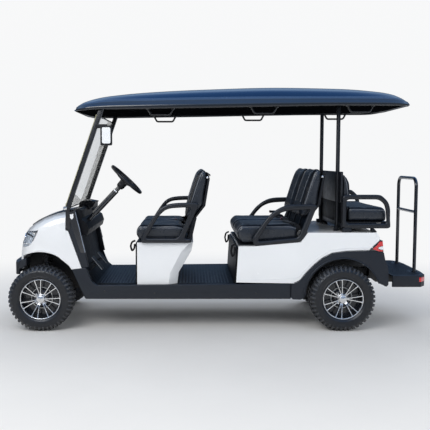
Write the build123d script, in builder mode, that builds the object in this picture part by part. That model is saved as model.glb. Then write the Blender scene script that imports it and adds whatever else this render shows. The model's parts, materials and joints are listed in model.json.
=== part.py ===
"""Six-seat golf cart: two forward rows and a rear-facing flip seat over a step.

Millimetres. X runs rearward, Y to the vehicle's right, Z up. The origin is on the floor,
at the centre of the overall length and width.
"""
from build123d import *
import math
import os

os.makedirs("parts", exist_ok=True)

# ---- driving dimensions -------------------------------------------------------------
WHEELBASE = 2660
FRONT_REACH = 300  # front axle to the bumper's face
REAR_REACH = 810  # rear axle to the step's rear edge
TYRE_R = 286
TYRE_WIDTH = 205
TRACK = 1131  # between the tyres' centre planes
RIM_R = 178
BODY_HALF = 600  # outer skin of cowl, rockers and rear body
CABIN_HALF = 560  # inner face of the rockers
FLOOR_Z = 402  # top of the floor pan
ARM_CLEARANCE = 15  # between a bench and the outer faces of the cabin
SEAT_HALF = CABIN_HALF - ARM_CLEARANCE  # half width of a bench
ROOF_HALF = 620
ROOF_LIP_Z = 1940  # lower edge of the roof over the front struts
ROOF_SLOPE = 0.015  # the lip's rise towards the rear
SKIN = 15  # moulded body panels
SEAT_GAP = 0.3  # between parts that rest on each other
PIN_PLAY = 0.05  # radial play of pins and spindles

FRONT_AXLE = FRONT_REACH - (FRONT_REACH + WHEELBASE + REAR_REACH) / 2
REAR_AXLE = FRONT_AXLE + WHEELBASE
WHEEL_Y = TRACK / 2


# ---- drawing helpers ----------------------------------------------------------------
def front(points):
    """Side-view points given from the front axle."""
    return [(FRONT_AXLE + x, z) for x, z in points]


def rear(points):
    """Side-view points given from the rear axle."""
    return [(REAR_AXLE + x, z) for x, z in points]


def side_view(points, y, radius=0):
    """A closed outline of (x, z) points in the plane at y."""
    with BuildSketch(Plane.XZ.offset(-y)) as outline:
        with BuildLine():
            FilletPolyline(*points, radius=radius, close=True)
        make_face()
    return outline.sketch


def top_view(points, z, radius=0):
    """A closed outline of (x, y) points in the plane at z."""
    with BuildSketch(Plane.XY.offset(z)) as outline:
        with BuildLine():
            FilletPolyline(*points, radius=radius, close=True)
        make_face()
    return outline.sketch


def slab(points, y_low, y_high, radius=0):
    """A side-view outline as thick as y_low to y_high."""
    with BuildPart() as piece:
        extrude(side_view(points, y_high, radius), amount=y_high - y_low)
    return piece.part


def block(x, y, z):
    """A box between three pairs of limits."""
    with BuildPart(Plane((x[0], y[0], z[0]))) as piece:
        Box(x[1] - x[0], y[1] - y[0], z[1] - z[0], align=(Align.MIN, Align.MIN, Align.MIN))
    return piece.part


def rod(start, end, radius):
    """A round bar from start to end."""
    run = Vector(*end) - Vector(*start)
    with BuildPart(Plane(origin=start, z_dir=run)) as piece:
        Cylinder(radius, run.length, align=(Align.CENTER, Align.CENTER, Align.MIN))
    return piece.part


def save(builder, name):
    """Label a finished piece and write its STEP file."""
    builder.part.label = name
    export_step(builder.part, f"parts/{name}.step")


# ---- chassis frame ------------------------------------------------------------------
RAIL_IN, RAIL_OUT = 205, 255
PAN = 12  # floor pan thickness
RAIL_TOP = FLOOR_Z - PAN
RAIL_H = 80
KICK_UP = TYRE_R + 224 - RAIL_TOP  # the rails' rise over the rear axle
STEP_TOP = 468
STEP_PLATE = 18
STEP_RAIL_TOP = STEP_TOP - STEP_PLATE
BUMPER_BACK = -252  # the bumper's rear face, from the front axle
HORN = (FRONT_AXLE + BUMPER_BACK + SEAT_GAP, FRONT_AXLE - 200)  # x of the bumper's brackets
COWL_LOW = 540
TOWER_X = (-40, 60)  # shock tower head, from the front axle
TOWER_Z = 680
rail_top = front([(-248, RAIL_TOP)]) + rear(
    [
        (-430, RAIL_TOP),
        (-320, RAIL_TOP + KICK_UP),
        (330, RAIL_TOP + KICK_UP),
        (400, STEP_RAIL_TOP),
        (REAR_REACH - 60, STEP_RAIL_TOP),
    ]
)
rail_bottom = rear(
    [
        (REAR_REACH - 60, STEP_RAIL_TOP - RAIL_H),
        (390, STEP_RAIL_TOP - RAIL_H),
        (310, RAIL_TOP + KICK_UP - RAIL_H),
        (-290, RAIL_TOP + KICK_UP - RAIL_H),
        (-400, RAIL_TOP - RAIL_H),
    ]
) + front([(-248, RAIL_TOP - RAIL_H)])
CROSS_BEAMS = [FRONT_AXLE + 330, FRONT_AXLE + 1000, REAR_AXLE - 930, REAR_AXLE - 500]
LEAF_HALF = 350  # half length of a leaf spring
LEAF_Y = (262, 318)

with BuildPart() as chassis_frame:
    add(slab(rail_top + rail_bottom, RAIL_IN, RAIL_OUT))
    add(block(HORN, (RAIL_IN, RAIL_OUT), (RAIL_TOP, COWL_LOW - 5)))
    tower = [(-180, RAIL_TOP), (300, RAIL_TOP), (220, 600), (100, 700), (-100, 700), (-180, 600)]
    add(slab(front(tower), RAIL_OUT - 4, RAIL_OUT + 12))
    head_x = (FRONT_AXLE + TOWER_X[0], FRONT_AXLE + TOWER_X[1])
    add(block(head_x, (RAIL_OUT, 400), (TOWER_Z, TOWER_Z + 20)))
    for x in (REAR_AXLE - LEAF_HALF, REAR_AXLE + LEAF_HALF - 40):
        add(block((x, x + 40), (RAIL_OUT - 1, LEAF_Y[1]), (TYRE_R + 152, RAIL_TOP + KICK_UP)))
    mirror(about=Plane.XZ)
    for x in CROSS_BEAMS:
        add(block((x, x + 50), (-RAIL_IN, RAIL_IN), (RAIL_TOP - RAIL_H, RAIL_TOP - 10)))
    add(block(HORN, (-RAIL_IN, RAIL_IN), (480, COWL_LOW - 5)))
    end = REAR_AXLE + REAR_REACH - 60
    add(block((end - 40, end), (-RAIL_IN, RAIL_IN), (STEP_RAIL_TOP - 70, STEP_RAIL_TOP)))
save(chassis_frame, "chassis_frame")

# ---- front suspension, steering knuckles and tie rod ---------------------------------
KING_Y = 500
KING_R = 10
LOWER_ARM = (TYRE_R - 96, TYRE_R - 72)
UPPER_ARM = (TYRE_R + 80, TYRE_R + 100)
SHOCK_Y = 360
SHOCK_R = 32
SPINDLE_R = 15
SPINDLE_END = WHEEL_Y + 60
STEER_ARM_X = 95
STEER_ARM_Y = 440
TIE_Z = TYRE_R - 8
TIE_R = 9
ARM_EYE_R = 24


def wishbone(half_base, y_base, z_pair):
    """One flat control arm on the right side, wide at the frame and ending in an eye."""
    x = FRONT_AXLE
    shape = [(x - half_base, y_base), (x + half_base, y_base), (x + 22, KING_Y), (x - 22, KING_Y)]
    with BuildPart() as piece:
        extrude(top_view(shape, z_pair[0]), amount=z_pair[1] - z_pair[0])
        add(rod((x, KING_Y, z_pair[0]), (x, KING_Y, z_pair[1]), ARM_EYE_R))
    return piece.part


with BuildPart() as front_suspension:
    member_x = (FRONT_AXLE - 60, FRONT_AXLE + 60)
    add(block(member_x, (0, RAIL_OUT + 20), (LOWER_ARM[0], RAIL_TOP - RAIL_H)))
    bracket_x = (FRONT_AXLE - 110, FRONT_AXLE + 110)
    add(block(bracket_x, (RAIL_OUT, RAIL_OUT + 20), (300, RAIL_TOP)))
    add(wishbone(60, 240, LOWER_ARM))
    add(wishbone(110, RAIL_OUT + 10, UPPER_ARM))
    slot = rod((FRONT_AXLE, SHOCK_Y, UPPER_ARM[0] - 6), (FRONT_AXLE, SHOCK_Y, UPPER_ARM[1] + 4), SHOCK_R + 6)
    add(slot, mode=Mode.SUBTRACT)
    add(rod((FRONT_AXLE, SHOCK_Y, LOWER_ARM[1] - 1), (FRONT_AXLE, SHOCK_Y, 640), SHOCK_R))
    add(rod((FRONT_AXLE, SHOCK_Y, 639), (FRONT_AXLE, SHOCK_Y, TOWER_Z), 12))
    low, high = LOWER_ARM[0] - 10, UPPER_ARM[1] + 14
    pin_bore = rod((FRONT_AXLE, KING_Y, low), (FRONT_AXLE, KING_Y, high), KING_R + PIN_PLAY)
    add(pin_bore, mode=Mode.SUBTRACT)
    rack_x = FRONT_AXLE + STEER_ARM_X
    add(rod((rack_x, 0, TIE_Z), (rack_x, 170, TIE_Z), 22))
    add(block((FRONT_AXLE + 59, rack_x - 10), (0, 60), (TIE_Z - 18, TIE_Z + 18)))
    add(rod((rack_x, -1, TIE_Z), (rack_x, 171, TIE_Z), TIE_R + 2 * PIN_PLAY), mode=Mode.SUBTRACT)
    mirror(about=Plane.XZ)
save(front_suspension, "front_suspension")

for side, name in ((-1, "left"), (1, "right")):
    with BuildPart() as knuckle:
        x = FRONT_AXLE
        add(rod((x, KING_Y, LOWER_ARM[1] + 2), (x, KING_Y, UPPER_ARM[0] - 2), 22))
        add(rod((x, KING_Y, LOWER_ARM[0]), (x, KING_Y, UPPER_ARM[1]), KING_R))
        add(rod((x, KING_Y, TYRE_R), (x, SPINDLE_END, TYRE_R), SPINDLE_R))
        add(rod((x, KING_Y + 30, TYRE_R), (x, KING_Y + 37, TYRE_R), 95))
        arm = [
            (x, KING_Y + 12),
            (x + STEER_ARM_X, STEER_ARM_Y + 12),
            (x + STEER_ARM_X, STEER_ARM_Y - 12),
            (x, KING_Y - 16),
        ]
        extrude(top_view(arm, TIE_Z - 28), amount=16)
        tip = (x + STEER_ARM_X, STEER_ARM_Y)
        add(rod((*tip, TIE_Z - 28), (*tip, TIE_Z - 12), 18))
        if side < 0:
            mirror(about=Plane.XZ, mode=Mode.REPLACE)
    save(knuckle, f"{name}_knuckle")

with BuildPart() as tie_rod:
    x = FRONT_AXLE + STEER_ARM_X
    add(rod((x, -STEER_ARM_Y, TIE_Z), (x, STEER_ARM_Y, TIE_Z), TIE_R))
    for y in (-STEER_ARM_Y, STEER_ARM_Y):
        add(rod((x, y, TIE_Z - 10), (x, y, TIE_Z + 10), 16))
save(tie_rod, "tie_rod")

# ---- rear axle with motor, springs; battery -------------------------------------------
HOUSING_R = 40
DRUM = (470, 520)
SPRING_SEAT = TYRE_R + 52
LEAF_T = 24

with BuildPart() as rear_axle:
    add(rod((REAR_AXLE, 0, TYRE_R), (REAR_AXLE, DRUM[0], TYRE_R), HOUSING_R))
    add(rod((REAR_AXLE, 0, TYRE_R), (REAR_AXLE, 60, TYRE_R), 95))
    add(rod((REAR_AXLE, DRUM[0], TYRE_R), (REAR_AXLE, DRUM[1], TYRE_R), 95))
    add(rod((REAR_AXLE, DRUM[1] - 1, TYRE_R), (REAR_AXLE, SPINDLE_END, TYRE_R), SPINDLE_R))
    add(block((REAR_AXLE - 60, REAR_AXLE + 60), LEAF_Y, (TYRE_R, SPRING_SEAT)))
    half_leaf = [(50, 0), (170, 24), (305, 76), (LEAF_HALF, 76)]
    under = [(-x, SPRING_SEAT + z) for x, z in reversed(half_leaf)] + [
        (x, SPRING_SEAT + z) for x, z in half_leaf
    ]
    over = [(x, z + LEAF_T) for x, z in reversed(under)]
    add(slab(rear(under + over), LEAF_Y[0] + 5, LEAF_Y[1] - 5))
    mirror(about=Plane.XZ)
    add(rod((REAR_AXLE - 330, 0, TYRE_R + 10), (REAR_AXLE - 60, 0, TYRE_R + 10), 80))
save(rear_axle, "rear_axle")

with BuildPart() as battery_pack:
    add(block((REAR_AXLE - 850, REAR_AXLE - 440), (-280, 280), (FLOOR_Z, 640)))
save(battery_pack, "battery_pack")

# ---- floor ------------------------------------------------------------------------------
PEDESTAL_FRONT = 845
PEDESTAL_REAR = 1201
KICK_X = -937  # foot of the middle bench's kick panel, from the rear axle
FLOOR_END = -451
TOE_FOOT = (480, FLOOR_Z)
TOE_KNEE = (372, FLOOR_Z + 158)
TOE_TOP = (318, 860)
MAT = 6

with BuildPart() as floor_pan:
    pan_x = (FRONT_AXLE + TOE_FOOT[0] - PAN, REAR_AXLE + FLOOR_END)
    add(block(pan_x, (-CABIN_HALF, CABIN_HALF), (RAIL_TOP, FLOOR_Z)))
    toe = [TOE_FOOT, TOE_KNEE, TOE_TOP]
    back = [(x - PAN, z - 4) for x, z in reversed(toe[1:])]
    toe_outline = toe + back + [(TOE_FOOT[0] - 1.5 * PAN, RAIL_TOP), (TOE_FOOT[0] + 5, RAIL_TOP)]
    add(slab(front(toe_outline), -SEAT_HALF, SEAT_HALF))
save(floor_pan, "floor_pan")

with BuildPart() as floor_mats:
    mat_z = (FLOOR_Z, FLOOR_Z + MAT)
    front_mat = (FRONT_AXLE + TOE_FOOT[0] + 15, FRONT_AXLE + PEDESTAL_FRONT - 16)
    add(block(front_mat, (-SEAT_HALF, SEAT_HALF), mat_z))
    rear_mat = (FRONT_AXLE + PEDESTAL_REAR + 8, REAR_AXLE + KICK_X - 18)
    add(block(rear_mat, (-SEAT_HALF, SEAT_HALF), mat_z))
save(floor_mats, "floor_mats")

# ---- rockers and rear fender flares -------------------------------------------------------
ROCKER_BOTTOM = 278
ROCKER_TOP = (FLOOR_Z - 3, FLOOR_Z + 14)  # at the front and at the rear
ROCKER_END = -451  # seam with the flare, from the rear axle
COWL_FOOT = [(269, 543), (357, 554), (398, 559)]  # shared edge of cowl and rocker

with BuildPart() as rocker_panels:
    nose = front(
        [(388, ROCKER_BOTTOM), (330, 404)] + COWL_FOOT + [(426, 485), (448, 434), (491, ROCKER_TOP[0])]
    )
    tail = rear([(ROCKER_END, ROCKER_TOP[1]), (ROCKER_END, ROCKER_BOTTOM)])
    add(slab(nose + tail, CABIN_HALF, BODY_HALF))
    mirror(about=Plane.XZ)
save(rocker_panels, "rocker_panels")

# edge shared by the white side and the flare, from the rear axle
FLARE_SEAM = [
    (229, 709),
    (36, 703),
    (-93, 686),
    (-182, 640),
    (-258, 575),
    (-322, 508),
    (-373, ROCKER_TOP[1] + 27),
    (-424, ROCKER_TOP[1] + 2),
]
FLARE_OUT = 12  # the flare stands this far out of the body side
FLARE_IN = 525
VALANCE_TOP = 690
REAR_WALL = 318  # rear face of the body, from the rear axle

with BuildPart() as rear_flares:
    with BuildSketch(Plane.XZ.offset(-BODY_HALF - FLARE_OUT)):
        with BuildLine():
            arch = ThreePointArc(*rear([(-325, 311), (-10, 634), (334, 413)]))
            Polyline(
                arch @ 1,
                *rear([(354, 407), (387, 388), (406, 407), (402, 551), (373, 629), (359, VALANCE_TOP + 5)]),
                *rear(FLARE_SEAM),
                *rear([(ROCKER_END, ROCKER_TOP[1]), (ROCKER_END, ROCKER_BOTTOM), (-357, 274)]),
                arch @ 0,
            )
        make_face()
    extrude(amount=BODY_HALF + FLARE_OUT - FLARE_IN)
    mirror(about=Plane.XZ)
    valance_x = (REAR_AXLE + REAR_WALL + 22, REAR_AXLE + REAR_WALL + 45)
    add(block(valance_x, (-FLARE_IN - 1, FLARE_IN + 1), (RAIL_TOP + KICK_UP + 5, VALANCE_TOP)))
save(rear_flares, "rear_flares")

# ---- front cowl, headlights and bumper ------------------------------------------------------
COWL_REAR = 220
HOOD = [  # centre-line outline from the nose's foot to the windscreen, from the front axle
    (-250, 600),
    (-245, 690),
    (-232, 770),
    (-208, 838),
    (-174, 885),
    (-112, 935),
    (-20, 985),
    (90, 1020),
    (220, 1045),
]
# across the cowl: distance from the centre, length as a share of the centre line's, hood drop
COWL_SECTIONS = [
    (0, 1.0, 0),
    (300, 0.975, 4),
    (450, 0.91, 10),
    (530, 0.83, 22),
    (580, 0.74, 42),
    (BODY_HALF, 0.64, 80),
]


def cowl_half(inset):
    """The right half of the cowl's envelope, shrunk by inset and then open below and behind."""
    half = BODY_HALF - inset
    low = COWL_LOW - (90 if inset else 0)
    back = COWL_REAR + (40 if inset else 0)
    with BuildPart() as piece:
        for y, share, drop in COWL_SECTIONS:
            outline = []
            for x, z in HOOD:
                fall = (drop + inset) * (z - HOOD[0][1]) / (HOOD[-1][1] - HOOD[0][1])
                outline.append((COWL_REAR - (COWL_REAR - x) * share + inset, z - fall))
            outline[-1] = (back, outline[-1][1])
            outline += [(back, low), (outline[0][0], low)]
            add(side_view(front(outline), y * half / BODY_HALF))
        loft(ruled=True)
    return piece.part


ARCH_IN = 430

with BuildPart() as arch_cut:
    with BuildSketch(Plane.XZ.offset(-BODY_HALF - 50)):
        with BuildLine():
            bow = ThreePointArc(*front([(-172, 655), (-10, 698), (269, 543)]))
            Polyline(bow @ 1, *front([(357, 554), (357, 380), (-172, 380)]), bow @ 0)
        make_face()
    extrude(amount=BODY_HALF + 50 - ARCH_IN)

LAMP = [(-190, 866), (-19, 888), (-60, 800), (-104, 752), (-190, 722)]
LAMP_IN = 330
BODY_TOP = 1200

with BuildPart() as cowl_shell:
    add(cowl_half(0))
    add(cowl_half(SKIN), mode=Mode.SUBTRACT)
    # the side runs back to the pillar trim and rests on the rocker's nose
    foot = [(x - 0.5, z + SEAT_GAP) for x, z in reversed(COWL_FOOT[:2])]
    side = [(190, 930), (COWL_REAR, 930), (COWL_REAR, 889), (242, 883)] + foot + [(190, 560)]
    add(slab(front(side), BODY_HALF - SKIN, BODY_HALF))
    add(arch_cut.part, mode=Mode.SUBTRACT)

with BuildPart() as front_cowl:
    add(cowl_shell.part)
    add(slab(front(LAMP), LAMP_IN, BODY_TOP), mode=Mode.SUBTRACT)
    mirror(about=Plane.XZ)
save(front_cowl, "front_cowl")

with BuildPart() as headlights:
    add(cowl_shell.part)
    add(slab(front(LAMP), LAMP_IN, BODY_TOP), mode=Mode.INTERSECT)
    mirror(about=Plane.XZ)
save(headlights, "headlights")

BUMPER_Z = (470, 588)
BUMPER_END = 430

with BuildPart() as front_bumper:
    edge = [(-FRONT_REACH, 0), (-FRONT_REACH, 150), (-292, 300), (-264, BUMPER_END)]
    edge += [(-228, BUMPER_END), (BUMPER_BACK, 300), (BUMPER_BACK, 0)]
    plan = [(FRONT_AXLE + x, y) for x, y in edge]
    extrude(top_view(plan, BUMPER_Z[0]), amount=BUMPER_Z[1] - BUMPER_Z[0])
    mirror(about=Plane.XZ)
save(front_bumper, "front_bumper")

# ---- pillars, dash, column and pedals --------------------------------------------------------
STRUT = 40
STRUT_FOOT = (246, 1104)
STRUT_HEAD = (529, 1909)
STRUT_LEAN = math.atan2(STRUT_HEAD[0] - STRUT_FOOT[0], STRUT_HEAD[1] - STRUT_FOOT[1])
LINER_DROP = 14  # liner's underside above the roof's lip
STRUT_Y = (SEAT_HALF, BODY_HALF - 10)
STRUT_SHOE = (893, 1050)  # z of the strut's upright foot


def lip_z(x):
    """Height of the roof's lower edge at x from the front axle."""
    return ROOF_LIP_Z + ROOF_SLOPE * (x - 434)


def strut_x(z, offset=0):
    """x of the strut's centre line at z, moved square to the strut by offset."""
    return STRUT_FOOT[0] + (z - STRUT_FOOT[1]) * math.tan(STRUT_LEAN) + offset / math.cos(STRUT_LEAN)


with BuildPart() as front_struts:
    head = lip_z(STRUT_HEAD[0]) + LINER_DROP - SEAT_GAP
    outline = [
        (221, STRUT_SHOE[0]),
        (261, STRUT_SHOE[0]),
        (261, STRUT_SHOE[1] + 30),
        (strut_x(1150, STRUT / 2), 1150),
        (strut_x(head, STRUT / 2), head),
        (strut_x(head, -STRUT / 2), head),
        (221, 1092),
    ]
    add(slab(front(outline), *STRUT_Y))
    mirror(about=Plane.XZ)
save(front_struts, "front_struts")

GLASS = 6
GLASS_Z = (1068, 1900)

with BuildPart() as windshield:
    near = -STRUT / 2 - SEAT_GAP
    far = near - GLASS
    pane = [(strut_x(z, side), z) for z, side in zip(GLASS_Z * 2, (near, near, far, far))]
    pane = [pane[0], pane[1], pane[3], pane[2]]
    add(slab(front(pane), -BODY_HALF + 25, BODY_HALF - 25))
save(windshield, "windshield")

with BuildPart() as side_mirror:
    y_face = -BODY_HALF - 40
    add(block((FRONT_AXLE + 541, FRONT_AXLE + 640), (y_face, -BODY_HALF - 5), (1631, 1803)))
    chamfer(side_mirror.edges().filter_by(Axis.Y), 8)
    bracket = (FRONT_AXLE + 495, FRONT_AXLE + 600)
    add(block(bracket, (-BODY_HALF - 6, -STRUT_Y[1]), (1780, 1815)))
save(side_mirror, "side_mirror")

with BuildPart() as pillar_trims:
    shoe = STRUT_SHOE[0] - SEAT_GAP
    foot = [(417, 560 + SEAT_GAP), (398, 559 + SEAT_GAP), (357, 554 + SEAT_GAP)]
    outline = [(262, shoe), (262, 1050), (311, 1064)] + foot + [(243, 884), (221, shoe)]
    add(slab(front(outline), SEAT_HALF, BODY_HALF - 8))
    mirror(about=Plane.XZ)
save(pillar_trims, "pillar_trims")

WHEEL_CENTRE = (FRONT_AXLE + 733, -300, 1327)
COLUMN_TILT = math.radians(46.5)
COLUMN_DIR = Vector(math.cos(COLUMN_TILT), 0, math.sin(COLUMN_TILT))
COLUMN_R = 20
HUB_DROP = 66  # from the rim's plane to the foot of the hub
COLUMN_FOOT = 545  # from the rim's plane to the column's lower end


def along_column(distance):
    """A point on the steering axis, at a distance below the rim's plane."""
    return tuple(Vector(*WHEEL_CENTRE) - COLUMN_DIR * distance)


with BuildPart() as dash_panel:
    outline = [
        (COWL_REAR + 1, 1045),
        (255, 1062),
        (330, 1076),
        (352, 1062),
        (348, 985),
        (396, 950),
        (415, 890),
        (398, 835),
        (TOE_TOP[0], TOE_TOP[1] + SEAT_GAP),
        (270, TOE_TOP[1] + SEAT_GAP),
        (COWL_REAR + 1, 960),
    ]
    add(slab(front(outline), -SEAT_HALF, SEAT_HALF))
    pod = [(262, 1060), (276, 1112), (300, 1124), (352, 1126), (424, 1112), (400, 1070), (345, 1030)]
    add(slab(front(pod), -150, 90))
    add(rod(along_column(HUB_DROP), along_column(COLUMN_FOOT + 5), COLUMN_R + SEAT_GAP), mode=Mode.SUBTRACT)
save(dash_panel, "dash_panel")

with BuildPart() as steering_column:
    add(rod(along_column(HUB_DROP + 1), along_column(COLUMN_FOOT), COLUMN_R))
    add(rod(along_column(HUB_DROP + 1), along_column(HUB_DROP - 30), 9))
save(steering_column, "steering_column")

RIM_TUBE = 14
RIM_MEAN_R = 172
SPOKES = 3

with BuildPart(Plane(origin=WHEEL_CENTRE, x_dir=(0, 1, 0), z_dir=COLUMN_DIR)) as steering_wheel:
    Torus(RIM_MEAN_R, RIM_TUBE)
    with Locations((0, 0, -HUB_DROP)):
        Cylinder(36, 46, align=(Align.CENTER, Align.CENTER, Align.MIN))
    with BuildSketch(Plane.XZ) as spoke:
        with BuildLine():
            Polyline((25, -58), (RIM_MEAN_R, -8), (RIM_MEAN_R, 6), (25, -40), close=True)
        make_face()
    for turn in range(SPOKES):
        with BuildPart(mode=Mode.PRIVATE) as arm:
            extrude(spoke.sketch, amount=13, both=True)
        with Locations(Rotation(0, 0, 90 + turn * 360 / SPOKES)):
            add(arm.part)
    with Locations((0, 0, -HUB_DROP - 1)):
        Cylinder(9 + PIN_PLAY, 38, align=(Align.CENTER, Align.CENTER, Align.MIN), mode=Mode.SUBTRACT)
save(steering_wheel, "steering_wheel")

# pads: y limits, upper and lower end of the tread, arm's foot on the toe board
PEDALS = [
    ((-430, -350), (422, FLOOR_Z + 221), (515, FLOOR_Z + 109), (405.7, FLOOR_Z + 109.5)),
    ((-240, -180), (449, FLOOR_Z + 238), (530, FLOOR_Z + 142), (384.9, FLOOR_Z + 140)),
]

with BuildPart() as pedals:
    for y_pair, high, low, foot in PEDALS:
        add(slab(front([high, (high[0] + 9, high[1] + 8), (low[0] + 9, low[1] + 8), low]), *y_pair))
        mid = ((high[0] + low[0]) / 2, (high[1] + low[1]) / 2)
        stem = [
            (mid[0] - 6, mid[1] + 9), (mid[0] + 8, mid[1] - 7), (foot[0] + 5, foot[1] - 7.3),
            (foot[0] - 5, foot[1] + 7.3),
        ]
        centre = (y_pair[0] + y_pair[1]) / 2
        add(slab(front(stem), centre - 10, centre + 10))
save(pedals, "pedals")

# ---- roof ----------------------------------------------------------------------------------
ROOF_WALL = 8
# along the roof: x from the front axle (or the rear axle), half width, lip, shoulder, crown
ROOF_FRONT = [
    (286, 400, 1942, 1957, 1970),
    (318, 520, 1936, 1974, 1998),
    (372, 592, 1934, 1990, 2028),
    (450, 614, 1940, 2006, 2056),
    (600, ROOF_HALF, 1942, 2026, 2088),
    (1000, ROOF_HALF, 1948, 2038, 2130),
    (1500, ROOF_HALF, 1956, 2048, 2156),
]
ROOF_REAR = [
    (-560, ROOF_HALF, 1967, 2054, 2172),
    (0, ROOF_HALF, 1974, 2054, 2160),
    (300, ROOF_HALF, 1974, 2052, 2134),
    (440, 614, 1974, 2044, 2108),
    (520, 592, 1976, 2022, 2078),
    (580, 520, 1982, 2010, 2048),
    (614, 400, 1990, 2002, 2022),
]


def roof_body(inset):
    """The roof's envelope, or with an inset the hollow below its skin."""
    stations = [(FRONT_AXLE + row[0], *row[1:]) for row in ROOF_FRONT]
    stations += [(REAR_AXLE + row[0], *row[1:]) for row in ROOF_REAR]
    with BuildPart() as piece:
        for x, half, lip, shoulder, crown in stations:
            middle = (stations[0][0] + stations[-1][0]) / 2
            shrink = 1 - 2 * inset / (stations[-1][0] - stations[0][0])
            wide = half - inset
            rise = crown - shoulder
            right = [
                (wide, lip - (30 if inset else 0)),
                (wide - 16, shoulder - inset),
                (0.88 * wide, shoulder + 0.25 * rise - inset),
                (0.62 * wide, shoulder + 0.8 * rise - inset),
                (0.25 * wide, crown - inset),
            ]
            left = [(-y, z) for y, z in reversed(right)]
            with BuildSketch(Plane.YZ.offset(middle + (x - middle) * shrink)):
                with BuildLine():
                    Polyline(*right, *left, close=True)
                make_face()
        loft(ruled=True)
    return piece.part


with BuildPart() as roof_shell:
    add(roof_body(0))
    add(roof_body(ROOF_WALL), mode=Mode.SUBTRACT)
save(roof_shell, "roof_shell")

LINER = 12
roof_ends = (ROOF_FRONT[0][0], WHEELBASE + ROOF_REAR[-1][0])

with BuildPart() as roof_liner:
    under = [(x, lip_z(x) + LINER_DROP) for x in roof_ends]
    over = [(x, z + LINER) for x, z in reversed(under)]
    add(slab(front(under + over), -ROOF_HALF, ROOF_HALF))
    add(roof_body(ROOF_WALL), mode=Mode.INTERSECT)
save(roof_liner, "roof_liner")

HANDLE_R = 9
HANDLE_Y = 520
HANDLE_DROP = 62
HANDLES = [FRONT_AXLE + 1056, FRONT_AXLE + 1964, REAR_AXLE + 149]

with BuildPart() as roof_handles:
    for x in HANDLES:
        z = lip_z(x - FRONT_AXLE) + LINER_DROP - SEAT_GAP
        with BuildLine(Plane.XZ.offset(-HANDLE_Y)) as grip:
            low = z - HANDLE_DROP
            FilletPolyline((x - 112, z - 6), (x - 82, low), (x + 82, low), (x + 112, z - 6), radius=25)
        with BuildSketch(Plane(origin=grip.line @ 0, z_dir=grip.line % 0)):
            Circle(HANDLE_R)
        sweep(path=grip.line)
        for foot in (x - 112, x + 112):
            top = z + ROOF_SLOPE * (foot - 16 - x)
            add(block((foot - 16, foot + 16), (HANDLE_Y - 12, HANDLE_Y + 12), (z - 12, top)))
    mirror(about=Plane.XZ)
save(roof_handles, "roof_handles")

# ---- front bench ------------------------------------------------------------------------------
PEDESTAL_TOP = 776
ARM_Y = (CABIN_HALF, BODY_HALF)
SPLIT = 8  # half the gap between the two places of a bench
BACK_SPLIT = 15
PAN_T = 12


def pedestal_body(inset):
    """The seat box: straight front, raked rear, chamfered rear corners."""
    full = [
        (845, FLOOR_Z), (1201, FLOOR_Z), (1213, 502), (1328, 699), (1343, PEDESTAL_TOP),
        (845, PEDESTAL_TOP),
    ]
    side = [
        (845, FLOOR_Z), (1124, FLOOR_Z), (1136, 502), (1234, 690), (1315, PEDESTAL_TOP),
        (845, PEDESTAL_TOP),
    ]
    shapes = []
    for shape in (full, side):
        low = shape[0][1] - (5 if inset else 0)
        rows = [(845 + inset, low), (shape[1][0] - inset, low)]
        rows += [(x - inset, z) for x, z in shape[2:4]]
        rows += [(shape[4][0] - 1.3 * inset, shape[4][1] - inset), (845 + inset, shape[5][1] - inset)]
        shapes.append(front(rows))
    half = CABIN_HALF - inset
    with BuildPart() as piece:
        for y, rows in (
            (-half, shapes[1]), (-half + 60, shapes[0]), (half - 60, shapes[0]), (half, shapes[1]),
        ):
            add(side_view(rows, y))
        loft(ruled=True)
    return piece.part


with BuildPart() as front_pedestal:
    add(pedestal_body(0))
    add(pedestal_body(SKIN), mode=Mode.SUBTRACT)
save(front_pedestal, "front_pedestal")

BODY_LINE = [(-918, 747), (-772, 748), (-370, 784), (-315, 858)]  # white top edge, from the rear axle
DECK_Z = 868
WALL = 25  # rear body sides
KICK_TOP = BODY_LINE[0]

with BuildPart() as kick_panels:
    add(block((FRONT_AXLE + 831, FRONT_AXLE + 845), (-SEAT_HALF, SEAT_HALF), (FLOOR_Z, PEDESTAL_TOP - 6)))
    lip = ROCKER_TOP[1] + 2
    top = (KICK_TOP[0] - SEAT_GAP, KICK_TOP[1] - 16)
    panel = [(KICK_X - 14, lip), (KICK_X - SEAT_GAP, lip), top, (top[0] - 14, top[1])]
    add(slab(rear(panel), -BODY_HALF + WALL, BODY_HALF - WALL))
    plinth_x = (REAR_AXLE + KICK_X - 14, REAR_AXLE + KICK_X - SEAT_GAP)
    add(block(plinth_x, (-CABIN_HALF, CABIN_HALF), (FLOOR_Z, lip + 1)))
save(kick_panels, "kick_panels")

# side-view outlines of the front bench, from the front axle
BACK = [
    (1258, 988),
    (1302, 1134),
    (1346, 1277),
    (1382, 1380),
    (1412, 1432),
    (1450, 1430),
    (1470, 1385),
    (1470, 1339),
    (1431, 1104),
    (1344, 988),
]
BACK_SHELL = [
    (1344.4, 988),
    (1362, 985),
    (1451, 1099),
    (1490, 1339),
    (1480, 1376),
    (1470.4, 1384),
    (1470.4, 1339),
    (1431.4, 1104),
]
FRONT_STAY = [(1280, 780), (1325, 780), (1374, 990), (1352, 990)]
CUSHION_FOOT = PEDESTAL_TOP + PAN_T + SEAT_GAP
CUSHION = [
    (822, 838), (822, 885), (848, 930), (1180, 932), (1276, 915), (1276, CUSHION_FOOT),
    (856, CUSHION_FOOT),
]
STAY_Y = [(140, 190), (SEAT_HALF - 75, SEAT_HALF - 25)]
MIDDLE_SHIFT = (-1643, 8)  # adds to BACK's points for the middle bench's, from the rear axle


def shifted(points, move):
    """The same outline, moved."""
    return [(x + move[0], z + move[1]) for x, z in points]


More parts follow.
